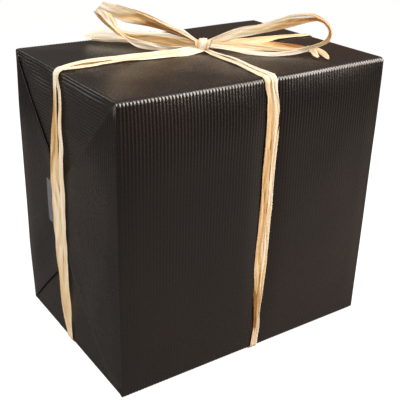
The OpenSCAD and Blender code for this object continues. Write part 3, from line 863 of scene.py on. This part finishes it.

# The band from front to back. Rows: [leg and share of it, x, lift off the paper, width, roll, tone].
# Leg 0 is the top in front of the knot, 1 the front, 2 underneath, 3 the back, 4 the top behind it.
# The tone column is painted shade: higher, so darker, where a strand lies in shadow
CROSS_LEFT = [
    [0, 5.5, 2.2, 5, 0, 0.26], [0.1, 5.4, 1.2, 4.5, 0, 0.16], [0.25, 5.2, 1, 5, 0, 0.11],
    [0.45, 5, 1, 5.5, 0, 0.11], [0.65, 4, 1, 5, 0, 0.11], [0.85, 2, 1, 6, 0, 0.11],
    [0.96, 1.6, 1, 6.5, 0, 0.11], [1.03, 2.6, 1.1, 6.4, 0, 0.3], [1.06, 4.2, 1.2, 5.8, 0, 0.3],
    [1.1, 5.2, 1.3, 7, 0, 0.35], [1.18, 5.6, 1.4, 7, 0, 0.4], [1.26, 5, 1.4, 6.6, 0, 0.5],
    [1.35, 4.6, 1.4, 6.6, 0, 0.5], [1.43, 4.5, 1.4, 6.6, 0, 0.5], [1.52, 4, 1.3, 6.6, 0, 0.45],
    [1.6, 3.2, 1.3, 7.4, 0, 0.4], [1.66, 3, 1.3, 7.6, 0, 0.4], [1.72, 3.4, 1.3, 6.4, 0, 0.45],
    [1.8, 4.6, 1.2, 4.4, 25, 0.5], [1.85, 4.6, 1.2, 3.6, 40, 0.4], [1.91, 4.8, 1, 4.2, 15, 0.3],
    [1.96, 3.6, 0.8, 4.8, 0, 0.3], [2.04, 3, 0.35, 6, 0, 0.2], [2.5, 2.6, 0.3, 6, 0, 0.2],
    [2.96, 3, 0.35, 6, 0, 0.2], [3.05, 2.6, 0.9, 6, 0, 0.2], [3.3, 1.4, 1.3, 6.5, 0, 0.2],
    [3.6, 0.8, 1.3, 7, 0, 0.2], [3.9, 2.4, 1.2, 6, 0, 0.1], [3.97, 3, 1.1, 5.5, 0, 0.1],
    [4.05, 3.4, 1.1, 5, 0, 0.1], [4.4, 3, 1.3, 5.5, 0, 0.1], [4.8, 4, 2, 5, 0, 0.1],
    [5, 4.5, 3, 5, 0, 0.1],
]
CROSS_RIGHT = [
    [0, 7.5, 2.4, 4, -10, 0.25], [0.1, 8.2, 1.6, 3.8, -10, 0.1], [0.25, 9.2, 1.4, 4, -10, 0.05],
    [0.45, 9.6, 1.4, 4.6, -10, 0.05], [0.65, 7.8, 1.4, 4.2, -8, 0.05], [0.85, 6.4, 1.3, 4.6, 0, 0.05],
    [0.96, 6.4, 1.3, 5, 0, 0.05], [1.03, 7, 1.3, 4.6, 0, 0.14], [1.06, 8.4, 1.4, 4, 0, 0.14],
    [1.1, 10.2, 1.5, 4.2, 0, 0.19], [1.18, 11, 1.6, 4, 0, 0.24], [1.26, 10.2, 1.7, 4, 0, 0.19],
    [1.35, 9.6, 1.7, 4.2, 0, 0.14], [1.43, 9.8, 1.6, 4, 0, 0.14], [1.52, 9, 1.6, 4.2, 0, 0.19],
    [1.6, 8.6, 1.6, 4.2, 0, 0.24], [1.66, 8.2, 1.5, 4.6, 0, 0.24], [1.72, 7.6, 1.5, 4, 0, 0.24],
    [1.8, 6.8, 1.4, 3.2, 0, 0.14], [1.85, 6.2, 1.3, 2.8, 0, 0.14], [1.91, 6.4, 1.1, 3.2, 0, 0.14],
    [1.96, 5, 0.9, 4.4, 0, 0.14], [2.04, 4.5, 0.55, 5, 0, 0.15], [2.5, 5, 0.5, 5, 0, 0.15],
    [2.96, 4.8, 0.55, 5, 0, 0.15], [3.05, 5, 1, 5, 0, 0.15], [3.3, 6.4, 1.5, 5, 0, 0.15],
    [3.6, 6.6, 1.6, 5.5, 0, 0.15], [3.9, 5.6, 1.5, 5, 0, 0.1], [3.97, 5, 1.4, 4.5, 0, 0.1],
    [4.05, 5, 1.4, 4.5, 0, 0.1], [4.4, 5.4, 1.7, 5, 0, 0.1], [4.8, 4.5, 2.6, 5, 0, 0.15],
    [5, 4, 3.6, 5, 0, 0.15],
]
# A strand underneath, painted dark by a high tone as the shade in the gap between the two above
CROSS_UNDER = [
    [1.2, 8.2, 1, 3, 0, 0.9], [1.3, 8.6, 1, 3.2, 0, 0.95], [1.42, 7.8, 1, 3, 0, 0.8],
    [1.55, 5.2, 0.9, 5, 0, 0.6], [1.68, 3.4, 0.9, 5.5, 0, 0.7], [1.78, 3, 1, 4.4, 0, 0.85],
    [1.85, 3.6, 1, 3.6, 0, 0.9], [1.91, 4, 0.8, 3, 0, 0.8], [1.97, 3.4, 0.5, 3, 0, 0.6],
]

# Bow ribbons: both edges as [x, y, height, x, y, height] from the point on the paper under the knot
LEFT_LOOP_TOP = [
    [-3, 0, 8, -3, 1.5, 6.5], [-9, 2, 12.5, -8.5, 3, 9], [-15.5, 4, 17.5, -17, 5.5, 13],
    [-24.5, 7, 21, -26.5, 8.5, 16.5], [-37, 11, 27.5, -36, 12, 19.5], [-45, 13.5, 31, -45.5, 15, 21.5],
    [-54, 16.5, 34, -55, 18, 24], [-62, 19, 36.5, -64, 21.5, 28.5], [-69.5, 21.5, 39, -75, 24.5, 32],
]
LEFT_LOOP_STRIP = [
    [-3, -0.6, 8.6, -3, -0.4, 7], [-9, 1.2, 13, -9.5, 1, 10.8], [-15.5, 3.2, 18, -16.5, 3.2, 14.6],
    [-24.5, 6.2, 21.6, -25.5, 6.4, 19.4], [-37, 10.2, 28.2, -37, 10.4, 25.6],
    [-45, 12.8, 31.6, -45, 13.2, 29.4], [-54, 15.8, 34.4, -53.5, 16.4, 32.2],
    [-61, 18.4, 36.8, -60.5, 19, 35.2],
]
LEFT_LOOP_DOWN = [
    [-69.5, 22.2, 38.6, -75.2, 25, 31.8], [-65, 21.8, 33, -71, 22.5, 28.5],
    [-61.5, 21, 27, -68, 21.5, 24.8], [-59.5, 20.2, 21.5, -64, 20, 20.4],
    [-56.5, 18.8, 17, -59, 18.5, 15.6], [-52, 17.5, 13.2, -53, 17.8, 10],
    [-45.5, 15.2, 10.8, -46.5, 16.6, 5.6], [-36.5, 12.2, 8.2, -38, 14.2, 2.8],
    [-26.5, 9, 5.8, -28.5, 11, 1.6], [-16.5, 6, 4.8, -17.5, 8, 1.4], [-4, 2, 5, -4, 3.2, 2.4],
]
LEFT_LOOP_INNER = [
    [-70, 23, 34, -75.6, 25.6, 31.6], [-68.6, 23.2, 28.5, -73, 24.6, 27.6],
    [-66.6, 22.6, 24, -69, 23.2, 23], [-62.6, 22.2, 20.4, -64.4, 22.2, 19],
    [-58, 21.8, 17.6, -59.2, 21.8, 14.4], [-52.5, 20.6, 15.2, -53, 21, 11.6],
    [-46, 18.4, 14, -44.5, 19, 9.8], [-39, 16, 13.4, -34.5, 16, 7.8], [-25, 11.5, 11.6, -27, 13, 5.4],
    [-12, 6.5, 8.4, -14, 8.2, 3.6], [-4, 3, 6.6, -4, 4, 4.2],
]
RIGHT_LOOP_OUTER = [
    [3, -2, 8.5, 4, -3.2, 6.5], [12.5, -10, 14.6, 13, -11, 10.5], [19.5, -16, 18.4, 20, -17, 14.5],
    [25.5, -21.5, 20.6, 26.5, -22.5, 17.6], [32, -27, 22.2, 33, -28.5, 20],
    [38.5, -33, 25.6, 39.5, -34.5, 23.4], [48.5, -42, 30.2, 49, -43, 27.8],
    [56, -49, 32, 56, -50, 29.8], [62, -54.5, 31.6, 61, -55, 29.6], [68, -60, 26.8, 66, -60, 25.4],
    [71.6, -63, 20.5, 69, -62.5, 20], [70.8, -62.5, 13.4, 68.4, -61.8, 14.6],
    [66.5, -59, 9.2, 65, -58, 11.2], [58, -52, 4.6, 57, -51, 7.4], [48, -47.5, 2.2, 47.5, -46.5, 5],
    [37, -41, 1.2, 37, -38, 3.6], [29, -34.5, 1, 29.5, -30.5, 3.4], [21.5, -27, 1.6, 22, -23.5, 4.4],
    [12, -18, 3.4, 12.5, -15.5, 6.2], [3, -6, 4.6, 4, -4.5, 6.8],
]
RIGHT_LOOP_INNER = [
    [3, -2.6, 9, 5, -4.8, 6], [12.5, -10.5, 14.2, 14, -13, 9.2], [19.5, -16.5, 18, 20.5, -19, 12],
    [25.5, -22, 20.2, 27, -25, 14.2], [32, -27.8, 21.8, 35, -32, 17], [41, -35.5, 25.2, 45, -41, 20.6],
    [50, -44, 27.8, 51.5, -47.5, 23.6], [57, -51, 29.2, 57.5, -52.8, 26.2],
    [62, -56, 29.2, 62, -57, 27.2], [66.8, -60.5, 26.2, 65.5, -60.5, 25.2],
    [70, -63.2, 20.6, 68, -62.8, 20.4], [69.6, -63, 14.6, 67.4, -61.8, 15.4],
    [65.5, -59.5, 10.2, 63.5, -58.5, 11.6], [58.5, -53, 6.6, 57, -52, 8.2],
    [49, -46.5, 4.4, 48, -45, 6.4], [38.5, -37.5, 4.2, 38, -35.5, 7],
    [27, -27.5, 5.4, 27.5, -25.5, 8.4], [13, -14.5, 7, 14, -12.5, 9.4], [4, -5, 6, 5, -3.5, 8.6],
]
LEFT_TAIL = [
    [-2, 2, 7.5, -1.5, 2.5, 4], [-10.5, 11.75, 9.6, -9.75, 10.25, 5.8],
    [-18.5, 22.5, 11.8, -18.5, 18, 6.8], [-29, 33.5, 11.6, -29, 29, 6.2],
    [-36.5, 41.5, 11.6, -36.5, 38, 5.2], [-45, 51, 11.6, -45, 47, 4.4],
    [-52.5, 59, 10.8, -52.5, 55.5, 3.6], [-59, 66, 8.4, -58.5, 61.5, 3.4],
    [-63, 69.5, 5.2, -63.5, 65, 2.8],
]
LEFT_TAIL_UNDER = [
    [-2, 3, 5.5, -1, 3.5, 3], [-13, 14, 6, -11, 15.5, 2.6], [-27, 29, 6.6, -24, 30.5, 2.2],
    [-40, 43, 5.8, -38, 44.5, 1.8], [-52, 56.5, 4.8, -50.5, 58.5, 1.4],
    [-59, 64.5, 3.6, -58, 66.5, 1.2],
]
RIGHT_TAIL = [
    [2, 0, 7, 2.5, -2.5, 3], [16, -5.5, 7.4, 17, -12, 2.2], [32.4, -12.5, 6.6, 33, -22.5, 1.8],
    [46, -20.5, 6, 43.5, -30.5, 1.6], [53, -28, 6, 51, -37.5, 1.6], [61, -38, 5.4, 57, -44, 1.6],
    [64, -43.5, 4.8, 61, -47.5, 1.8], [67, -48.5, 4.2, 64.5, -50, 2.2],
]
LONG_TIP = [
    [67.5, -47, 5, 64, -49.5, 3], [70, -51, 5, 66.2, -52.5, 3], [70.6, -58, 4, 65, -60, 2.2],
    [66.8, -66, 3, 63, -67, 1.8], [62.4, -72, 2.2, 61.8, -71.8, 1.7],
]
SHORT_TIP = [
    [67, -47.5, 4.4, 62.5, -48.5, 3.2], [67, -52, 4.2, 61.4, -53, 3], [63, -59, 3.2, 58.8, -58, 2.2],
    [59, -65, 2.4, 57.6, -64.6, 1.8],
]

# Painted shade along the loops' strands: [place, tone], higher where a strand lies in shadow, as on the
# inner sides
TOP_TONES = [[0, 0.5], [1, 0.7], [3, 0.85], [4.5, 0.7], [5.5, 0.35], [7, 0.15], [8, 0]]
BEHIND_TONES = [[0, 0.4], [2, 0.45], [4, 0.4], [6, 0.5], [8, 0.5], [10, 0.4]]
OUTER_TONES = [[0, 0.3], [2, 0.1], [6, 0.15], [8, 0.45], [10, 0.3], [12, 0.1], [19, 0.1]]
INNER_TONES = [[0, 0.3], [1.5, 0.1], [3, 0.2], [5, 0.5], [7, 0.85], [9.5, 0.9], [12, 0.4], [18, 0.3]]


def strand_piece(name, parts, body, thickness):
    """A raffia piece of one or more strands, thickened, in straw, riding on body unless it is None."""
    points, faces, marks = join_grids(parts)
    if "loop" not in name:
        points = loosen(points)
    obj = make_piece(name, points, faces, raffia_straw(), {"strand": marks})
    thicken(obj, thickness)
    if body:
        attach(obj, body)
    return obj


def bend_at_knot(obj):
    """Bakes a loop's or tail's world transform into its mesh."""
    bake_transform(obj)


def wrap_ring(centre, heading, tilt, radii, width, shade, seed):
    """A ribbon wound once round a bundle: an ellipse square to heading, tipped by tilt, in degrees."""
    q = np.linspace(0, 1, 61)
    along = np.array([math.cos(math.radians(heading)), math.sin(math.radians(heading)), 0])
    aside = np.array([-along[1], along[0], 0])
    lean = math.tan(math.radians(tilt))

    def edge(sign):
        """The edge curve on one side (-1 or 1) of the ring's middle line."""
        def at(place):
            """A point on the ellipse, moved along the bundle by the tilt and half a width."""
            angle = 2 * math.pi * place[..., None]
            ring = aside * np.cos(angle) * radii[0] + np.array([0, 0, 1]) * np.sin(angle) * radii[1]
            slide = along * (np.sin(angle) * lean * radii[1] + sign * width / 2)
            return np.array(centre) + ring + slide
        return at

    def tone(place):
        """The same tone all round."""
        return shade + 0 * place

    return ribbon(edge(-1), edge(1), q, 13, tone, seed, pleat=0.35, bow=-0.06)


# ---- settings, operators and panel ----

class GiftPaper(bpy.types.PropertyGroup):
    """Sizes and colours of the wrapping paper."""

    rib_pitch: bpy.props.FloatProperty(
        name="Rib pitch", description="Distance between ribs", default=0.0025, unit="LENGTH")
    rib_depth: bpy.props.FloatProperty(
        name="Rib depth", description="Height of a rib over the groove beside it",
        default=0.00026, unit="LENGTH")
    unevenness: bpy.props.FloatProperty(
        name="Unevenness", description="How far the panels swell outwards",
        default=0.0007, unit="LENGTH")
    edge_lift: bpy.props.FloatProperty(
        name="Edge lift", description="How far a folded edge stands off", default=0.0009, unit="LENGTH")
    colour: bpy.props.FloatVectorProperty(
        name="Colour", description="Paper colour", default=(0.0036, 0.0024, 0.0019), subtype="COLOR")
    warm_colour: bpy.props.FloatVectorProperty(
        name="Warm colour", description="Brown cast of the paper",
        default=(0.0080, 0.0048, 0.0035), subtype="COLOR")


class GiftRaffia(bpy.types.PropertyGroup):
    """Colours and thickness of the raffia."""

    light: bpy.props.FloatVectorProperty(
        name="Light", description="Colour where a strand lies flat",
        default=(0.73, 0.65, 0.53), subtype="COLOR")
    straw: bpy.props.FloatVectorProperty(
        name="Straw", description="Middle colour", default=(0.66, 0.49, 0.29), subtype="COLOR")
    # Tan and shade are painted shade: the colours that a high tone turns the straw to
    tan: bpy.props.FloatVectorProperty(
        name="Tan", description="Colour on shaded folds", default=(0.52, 0.31, 0.12), subtype="COLOR")
    shade: bpy.props.FloatVectorProperty(
        name="Shade", description="Colour inside folds", default=(0.25, 0.10, 0.028), subtype="COLOR")
    thickness: bpy.props.FloatProperty(
        name="Thickness", description="Thickness of a strand", default=0.00022, unit="LENGTH")


class GiftStage(bpy.types.PropertyGroup):
    """Camera and floor."""

    azimuth: bpy.props.FloatProperty(
        name="Azimuth", description="Camera turn from the front",
        default=math.radians(-34.686), subtype="ANGLE")
    elevation: bpy.props.FloatProperty(
        name="Elevation", description="Camera height angle",
        default=math.radians(24.788), subtype="ANGLE")
    roll: bpy.props.FloatProperty(
        name="Roll", description="Camera roll", default=math.radians(1.584), subtype="ANGLE")
    place: bpy.props.FloatVectorProperty(
        name="Camera place", description="Where the camera stands", default=(-0.3039, -0.4455, 0.3475),
        subtype="TRANSLATION", unit="LENGTH")
    lens: bpy.props.FloatProperty(
        name="Lens", description="Focal length in mm on a 36 mm sensor", default=65.72)
    floor_colour: bpy.props.FloatVectorProperty(
        name="Floor", description="Floor colour", default=(0.185, 0.165, 0.155), subtype="COLOR")


# Square softboxes that fill the shade: name, place, point faced, side, power in W and colour
FILL_LIGHTS = [
    ("top_softbox", (-0.35, -0.2, 1.5), (0.0, 0.0, 0.2), 0.9, 7, (1.0, 0.97, 0.92)),
    ("left_softbox", (-1.15, -0.42, 0.48), (-0.11, 0.0, 0.12), 0.5, 10, (0.95, 0.98, 1.0)),
    ("rear_softbox", (-0.75, 0.85, 0.8), (0.0, 0.0, 0.2), 0.5, 4, (1.0, 0.96, 0.9)),
]


class GIFT_OT_stage(bpy.types.Operator):
    """Make the camera, the floor, the lights and the world"""

    bl_idname = "gift.stage"
    bl_label = "Stage"

    def execute(self, context):
        scene = context.scene
        looks = scene.gift_stage
        back = Vector((
            math.sin(looks.azimuth) * math.cos(looks.elevation),
            -math.cos(looks.azimuth) * math.cos(looks.elevation),
            math.sin(looks.elevation),
        ))
        right = (-back).cross(Vector((0, 0, 1))).normalized()
        up = right.cross(-back)
        rolled = right * math.cos(looks.roll) + up * math.sin(looks.roll)
        up = up * math.cos(looks.roll) - right * math.sin(looks.roll)
        data = bpy.data.cameras.new("camera")
        data.lens = looks.lens
        data.sensor_width = 36
        data.clip_start = 0.01
        camera = bpy.data.objects.new("camera", data)
        camera.matrix_world = Matrix((
            (rolled.x, up.x, back.x, looks.place[0]),
            (rolled.y, up.y, back.y, looks.place[1]),
            (rolled.z, up.z, back.z, looks.place[2]),
            (0, 0, 0, 1),
        ))
        scene.collection.objects.link(camera)
        scene.camera = camera
        self.make_floor(looks)
        self.make_world(scene)
        # A tall softbox, 1.1 m off, whose reflection runs along the top front edge
        edge = Vector((0.04, -0.0795, 0.2188))
        key = edge + Vector((0.663, -0.51, 0.52)).normalized() * 1.1
        self.add_light("key_softbox", key, edge, (0.42, 1.15), 28, (1.0, 0.90, 0.82))
        for name, place, target, side, power, colour in FILL_LIGHTS:
            self.add_light(name, place, target, (side, side), power, colour)
        scene.view_settings.view_transform = "Standard"
        return {"FINISHED"}

    def make_floor(self, looks):
        """A large floor: white to look at, and darker, with a painted pool of light, to reflected light.
        """
        edge = np.linspace(-4000.0, 4000.0, 9)
        grid = np.stack(np.meshgrid(edge, edge, indexing="xy") + [np.zeros((9, 9))], -1)
        material, tree, shader = new_material("pale floor")
        place = add(tree, "ShaderNodeTexCoord", (-700, 0))
        noise = add(tree, "ShaderNodeTexNoise", (-500, 0), in_Scale=60.0)
        colour = tuple(looks.floor_colour)
        tint = ramp(tree, (-300, 0), [(0.3, tuple(c * 0.97 for c in colour)), (0.7, colour)])
        # Painted pool of light under the box: the floor's colour fades with the distance from it
        centre = add(tree, "ShaderNodeVectorMath", (-500, 250), operation="DISTANCE")
        centre.inputs[1].default_value = (0.12, 0.12, 0.0)
        pool = add(tree, "ShaderNodeMapRange", (-300, 250), in_1=0.34, in_2=0.8, in_3=1.0, in_4=0.25)
        fade = add(tree, "ShaderNodeVectorMath", (-100, 100), operation="SCALE")
        wire(
            tree, (place, "Object", centre, 0), (centre, "Value", pool, 0), (tint, 0, fade, 0),
            (pool, 0, fade, "Scale"), (place, "Object", noise, "Vector"), (noise, "Fac", tint, 0),
            (fade, 0, shader, "Base Color"),
        )
        shader.inputs["Roughness"].default_value = 0.9
        shader.inputs["Emission Color"].default_value = (1, 1, 1, 1)
        ray = add(tree, "ShaderNodeLightPath", (-500, -300))
        boost = add(tree, "ShaderNodeMath", (-200, -300), operation="MULTIPLY", in_1=0.95)
        wire(tree, (ray, "Is Camera Ray", boost, 0), (boost, 0, shader, "Emission Strength"))
        floor = make_piece("floor", grid, grid_faces(9, 9), material)

    def make_world(self, scene):
        """A white surround to look at, and a darker one, warm on the right, that lights the box."""
        world = bpy.data.worlds.new("studio")
        scene.world = world
        world.use_nodes = True
        tree = world.node_tree
        tree.nodes.clear()
        out = add(tree, "ShaderNodeOutputWorld", (600, 0))
        mix = add(tree, "ShaderNodeMixShader", (400, 0))
        ray = add(tree, "ShaderNodeLightPath", (0, 300))
        seen = add(tree, "ShaderNodeBackground", (200, -100), in_Color=(1, 1, 1, 1), in_Strength=1.0)
        glow = add(tree, "ShaderNodeBackground", (200, 100), in_Strength=1.0)
        place = add(tree, "ShaderNodeTexCoord", (-600, 0))
        split = add(tree, "ShaderNodeSeparateXYZ", (-400, 0))
        shade = ramp(tree, (-150, 0), [
            (0.0, (0.16, 0.13, 0.11)), (0.12, (0.10, 0.085, 0.075)), (0.25, (0.20, 0.165, 0.15)),
            (0.42, (0.16, 0.15, 0.15)), (0.6, (0.34, 0.32, 0.30)), (1.0, (0.48, 0.46, 0.43)),
        ])
        warm = ramp(tree, (-150, -300), [
            (0.0, (0.20, 0.13, 0.085)), (0.12, (0.12, 0.07, 0.042)), (0.25, (0.31, 0.145, 0.075)),
            (0.42, (0.16, 0.12, 0.10)), (0.6, (0.34, 0.32, 0.30)), (1.0, (0.48, 0.46, 0.43)),
        ])
        east = add(tree, "ShaderNodeMapRange", (-150, -550), in_1=0.42, in_2=0.68, in_3=0.0, in_4=1.0)
        hue = add(tree, "ShaderNodeMix", (0, -200), data_type="RGBA")
        # A bright band low down behind the box on the left
        band = add(tree, "ShaderNodeMapRange", (-150, 300), in_1=0.2, in_2=0.04, in_3=0.0, in_4=1.0)
        side = add(tree, "ShaderNodeMapRange", (-150, 550), in_1=0.45, in_2=-0.1, in_3=0.0, in_4=1.0)
        rear = add(tree, "ShaderNodeMapRange", (-150, 800), in_1=0.2, in_2=0.6, in_3=0.0, in_4=1.0)
        one = add(tree, "ShaderNodeMath", (50, 500), operation="MULTIPLY")
        both = add(tree, "ShaderNodeMath", (200, 400), operation="MULTIPLY")
        bright = add(tree, "ShaderNodeMix", (50, 0), data_type="RGBA")
        bright.inputs[7].default_value = (1.5, 1.4, 1.3, 1)
        wire(
            tree, (place, "Generated", split, 0), (split, "Z", shade, 0), (split, "Z", warm, 0),
            (split, "X", east, 0), (east, 0, hue, 0), (shade, 0, hue, 6), (warm, 0, hue, 7),
        )
        for socket, node in zip("ZXY", (band, side, rear)):
            wire(tree, (split, socket, node, 0))
        wire(
            tree, (band, 0, one, 0), (side, 0, one, 1), (one, 0, both, 0), (rear, 0, both, 1),
            (both, 0, bright, 0), (hue, 2, bright, 6), (bright, 2, glow, "Color"),
            (ray, "Is Camera Ray", mix, 0), (glow, 0, mix, 1), (seen, 0, mix, 2), (mix, 0, out, 0),
        )

    def add_light(self, name, place, target, size, power, colour):
        """A softbox of size (width, height) at place that faces target."""
        data = bpy.data.lights.new(name, "AREA")
        data.shape = "RECTANGLE"
        data.size, data.size_y = size
        data.energy = power
        data.color = colour
        light = bpy.data.objects.new(name, data)
        light.location = place
        light.rotation_euler = (Vector(place) - Vector(target)).to_track_quat("Z", "Y").to_euler()
        bpy.context.scene.collection.objects.link(light)


class GIFT_OT_carton(bpy.types.Operator):
    """Give the carton's board and its packing tape their materials"""

    bl_idname = "gift.carton"
    bl_label = "Carton"

    def execute(self, context):
        for name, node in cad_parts.items():
            if name in ("carton_bottom_tape", "carton_top_tape"):
                node.data.materials.clear()
                node.data.materials.append(packing_tape())
            elif name.startswith("carton_"):
                node.data.materials.clear()
                node.data.materials.append(carton_board())
        return {"FINISHED"}


class GIFT_OT_paper(bpy.types.Operator):
    """Make the wrapping paper as one folded sheet"""

    bl_idname = "gift.paper"
    bl_label = "Wrapping paper"

    def execute(self, context):
        looks = context.scene.gift_paper
        points, marks, rows, cols = paper_points(looks)
        faces = grid_faces(rows, cols, ring=True)
        strip, strip_marks = seam_strip()
        strip_faces = grid_faces(*strip.shape[:2])[:, ::-1]
        points, faces, marks = join_grids([(points, faces, marks), (strip, strip_faces, strip_marks)])
        paper = make_piece("wrapping_paper", points, faces, wrapping_black(), {"paper": marks})
        weld(paper)
        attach(paper, "root")
        folds = [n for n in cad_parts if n.startswith("wrap_") and "tape" not in n]
        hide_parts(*folds)
        # Round corners are 6 mm shorter in all than square ones
        return {"FINISHED"}


class GIFT_OT_tapes(bpy.types.Operator):
    """Make the clear tapes on the ends, and finish those on the seam"""

    bl_idname = "gift.tapes"
    bl_label = "Clear tapes"

    def execute(self, context):
        for side in (-1, 1):
            name = "wrap_left_tape" if side < 0 else "wrap_right_tape"
            low, high = (np.array(corner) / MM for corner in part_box(name))
            y = np.linspace(low[1], high[1], 25)[None, :]
            z = np.linspace(low[2], high[2], 21)[:, None]
            x = end_height(y + 0 * z, z + 0 * y, side) * side
            grid = np.stack([x, y + 0 * z, z + 0 * y], -1)
            faces = grid_faces(21, 25)
            faces = faces[:, ::-1] if side > 0 else faces
            tape = make_piece(name + "_strip", grid, faces, clear_tape())
            thicken(tape, TAPE)
            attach(tape, "root")
            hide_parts(name)
        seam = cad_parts["wrap_seam_tapes"]
        seam.data.materials.clear()
        seam.data.materials.append(clear_tape())
        return {"FINISHED"}


class GIFT_OT_bands(bpy.types.Operator):
    """Tie the two raffia bands round the box"""

    bl_idname = "gift.bands"
    bl_label = "Raffia bands"

    def execute(self, context):
        thick = context.scene.gift_raffia.thickness / MM
        long_band = strand_piece("long_band_strands", [
            band_ribbon(HALF_W, KNOT_X, "x", LONG_NEAR, 11),
            band_ribbon(HALF_W, KNOT_X, "x", LONG_FAR, 12, lanes=21),
            band_ribbon(HALF_W, KNOT_X, "x", LONG_UNDER, 13, lanes=9),
        ], "root", thick)
        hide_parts("raffia_long_band")
        cross_band = strand_piece("cross_band_strands", [
            band_ribbon(HALF_D, KNOT_Y, "y", CROSS_LEFT, 21),
            band_ribbon(HALF_D, KNOT_Y, "y", CROSS_RIGHT, 22),
            band_ribbon(HALF_D, KNOT_Y, "y", CROSS_UNDER, 23, lanes=9),
        ], "root", thick)
        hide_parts("raffia_cross_band")
        return {"FINISHED"}


class GIFT_OT_knot(bpy.types.Operator):
    """Make the knot of the bow"""

    bl_idname = "gift.knot"
    bl_label = "Knot"

    def execute(self, context):
        thick = context.scene.gift_raffia.thickness / MM
        base = np.array([KNOT_X, KNOT_Y, PAPER_HI])
        knot = strand_piece("bow_knot_wraps", [
            wrap_ring(base + [0.4, -0.6, 5.8], -35, 8, (4.4, 4.6), 5.5, 0.02, 31),
            wrap_ring(base + [-2.0, 0.8, 5.6], -30, -15, (3.7, 3.8), 5, 0.3, 32),
            wrap_ring(base + [3.2, -2.2, 5.6], -38, 15, (3.7, 3.9), 4.5, 0.2, 33),
            wrap_ring(base + [0.5, -0.5, 5.4], -35, 0, (3.3, 3.4), 9, 0.6, 34),
        ], "root", thick)
        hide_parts("bow_knot")
        return {"FINISHED"}


class GIFT_OT_loops(bpy.types.Operator):
    """Make the two loops of the bow"""

    bl_idname = "gift.loops"
    bl_label = "Loops"

    def execute(self, context):
        thick = context.scene.gift_raffia.thickness / MM
        left = strand_piece("bow_left_loop_strands", [
            # The tone stations give each strand's painted shade
            free_ribbon(LEFT_LOOP_TOP, TOP_TONES, 41),
            free_ribbon(LEFT_LOOP_STRIP, [[0, 0.1], [3, 0.1], [5, 0.3], [7, 0.05]], 42, lanes=11),
            free_ribbon(LEFT_LOOP_DOWN, [[0, 0], [2, 0.1], [4, 0.25], [6, 0.1], [10, 0.1]], 43),
            free_ribbon(LEFT_LOOP_INNER, BEHIND_TONES, 44),
        ], None, thick)
        bend_at_knot(left)
        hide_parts("bow_left_loop")
        right = strand_piece("bow_right_loop_strands", [
            free_ribbon(RIGHT_LOOP_OUTER, OUTER_TONES, 51, lanes=13),
            free_ribbon(RIGHT_LOOP_INNER, INNER_TONES, 52),
        ], None, thick)
        bend_at_knot(right)
        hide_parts("bow_right_loop")
        return {"FINISHED"}


class GIFT_OT_tails(bpy.types.Operator):
    """Make the two tails of the bow, with the small knot and the split tips of the right one"""

    bl_idname = "gift.tails"
    bl_label = "Tails"

    def execute(self, context):
        thick = context.scene.gift_raffia.thickness / MM
        # The tone stations give each strand's painted shade
        left = strand_piece("bow_left_tail_strand", [
            free_ribbon(LEFT_TAIL, [[0, 0.35], [2, 0.05], [8, -0.05]], 61, fray=(0, 0.02)),
            free_ribbon(LEFT_TAIL_UNDER, [[0, 0.5], [3, 0.35], [5, 0.2]], 62, lanes=9, fray=(0, 0.02)),
        ], None, thick)
        bend_at_knot(left)
        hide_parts("bow_left_tail")
        right = strand_piece("bow_right_tail_strand", [
            free_ribbon(RIGHT_TAIL, [[0, 0.4], [1.5, 0.2], [3, 0.45], [5, 0.7], [6, 0.6], [7, 0.5]], 71),
        ], None, thick)
        bend_at_knot(right)
        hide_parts("bow_right_tail")
        centre = np.array([KNOT_X + 66.3, KNOT_Y - 49.0, PAPER_HI + 3.9])
        small = strand_piece("bow_right_tail_knot_wraps", [
            wrap_ring(centre, -62, 20, (3.0, 2.5), 4.2, 0.1, 72),
            wrap_ring(centre + [-0.8, 1.2, -0.2], -40, -25, (2.6, 2.2), 3.4, 0.45, 73),
        ], "right_tail", thick)
        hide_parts("bow_right_tail_knot")
        tips = strand_piece("bow_right_tail_split_tips", [
            free_ribbon(LONG_TIP, [[0, 0.3], [2, 0.35], [4, 0.2]], 74, lanes=11, fray=(0, 0.03)),
            free_ribbon(SHORT_TIP, [[0, 0.3], [1.5, 0.15], [3, 0.1]], 75, lanes=11, fray=(0, 0.03)),
        ], "right_tail", thick)
        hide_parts("bow_right_tail_tips")
        return {"FINISHED"}


OPERATORS = (
    GIFT_OT_stage, GIFT_OT_carton, GIFT_OT_paper, GIFT_OT_tapes,
    GIFT_OT_bands, GIFT_OT_knot, GIFT_OT_loops, GIFT_OT_tails,
)
SETTINGS = {"gift_paper": GiftPaper, "gift_raffia": GiftRaffia, "gift_stage": GiftStage}


class GIFT_PT_panel(bpy.types.Panel):
    """Lists the steps that build the gift box"""

    bl_idname = "GIFT_PT_panel"
    bl_label = "Gift box"
    bl_space_type = "VIEW_3D"
    bl_region_type = "UI"
    bl_category = "Gift box"

    def draw(self, context):
        for step in OPERATORS:
            self.layout.operator(step.bl_idname, text=step.bl_label)


def register():
    """Registers the settings, the steps and the panel."""
    for cls in (*SETTINGS.values(), *OPERATORS, GIFT_PT_panel):
        bpy.utils.register_class(cls)
    for name, group in SETTINGS.items():
        setattr(bpy.types.Scene, name, bpy.props.PointerProperty(type=group))


def unregister():
    """Takes away what register added, in the other order."""
    for name in SETTINGS:
        delattr(bpy.types.Scene, name)
    for cls in (GIFT_PT_panel, *reversed(OPERATORS), *SETTINGS.values()):
        bpy.utils.unregister_class(cls)


def main():
    register()
    for step in OPERATORS:
        group, action = step.bl_idname.split(".")
        getattr(getattr(bpy.ops, group), action)()


if __name__ == "__main__":
    main()
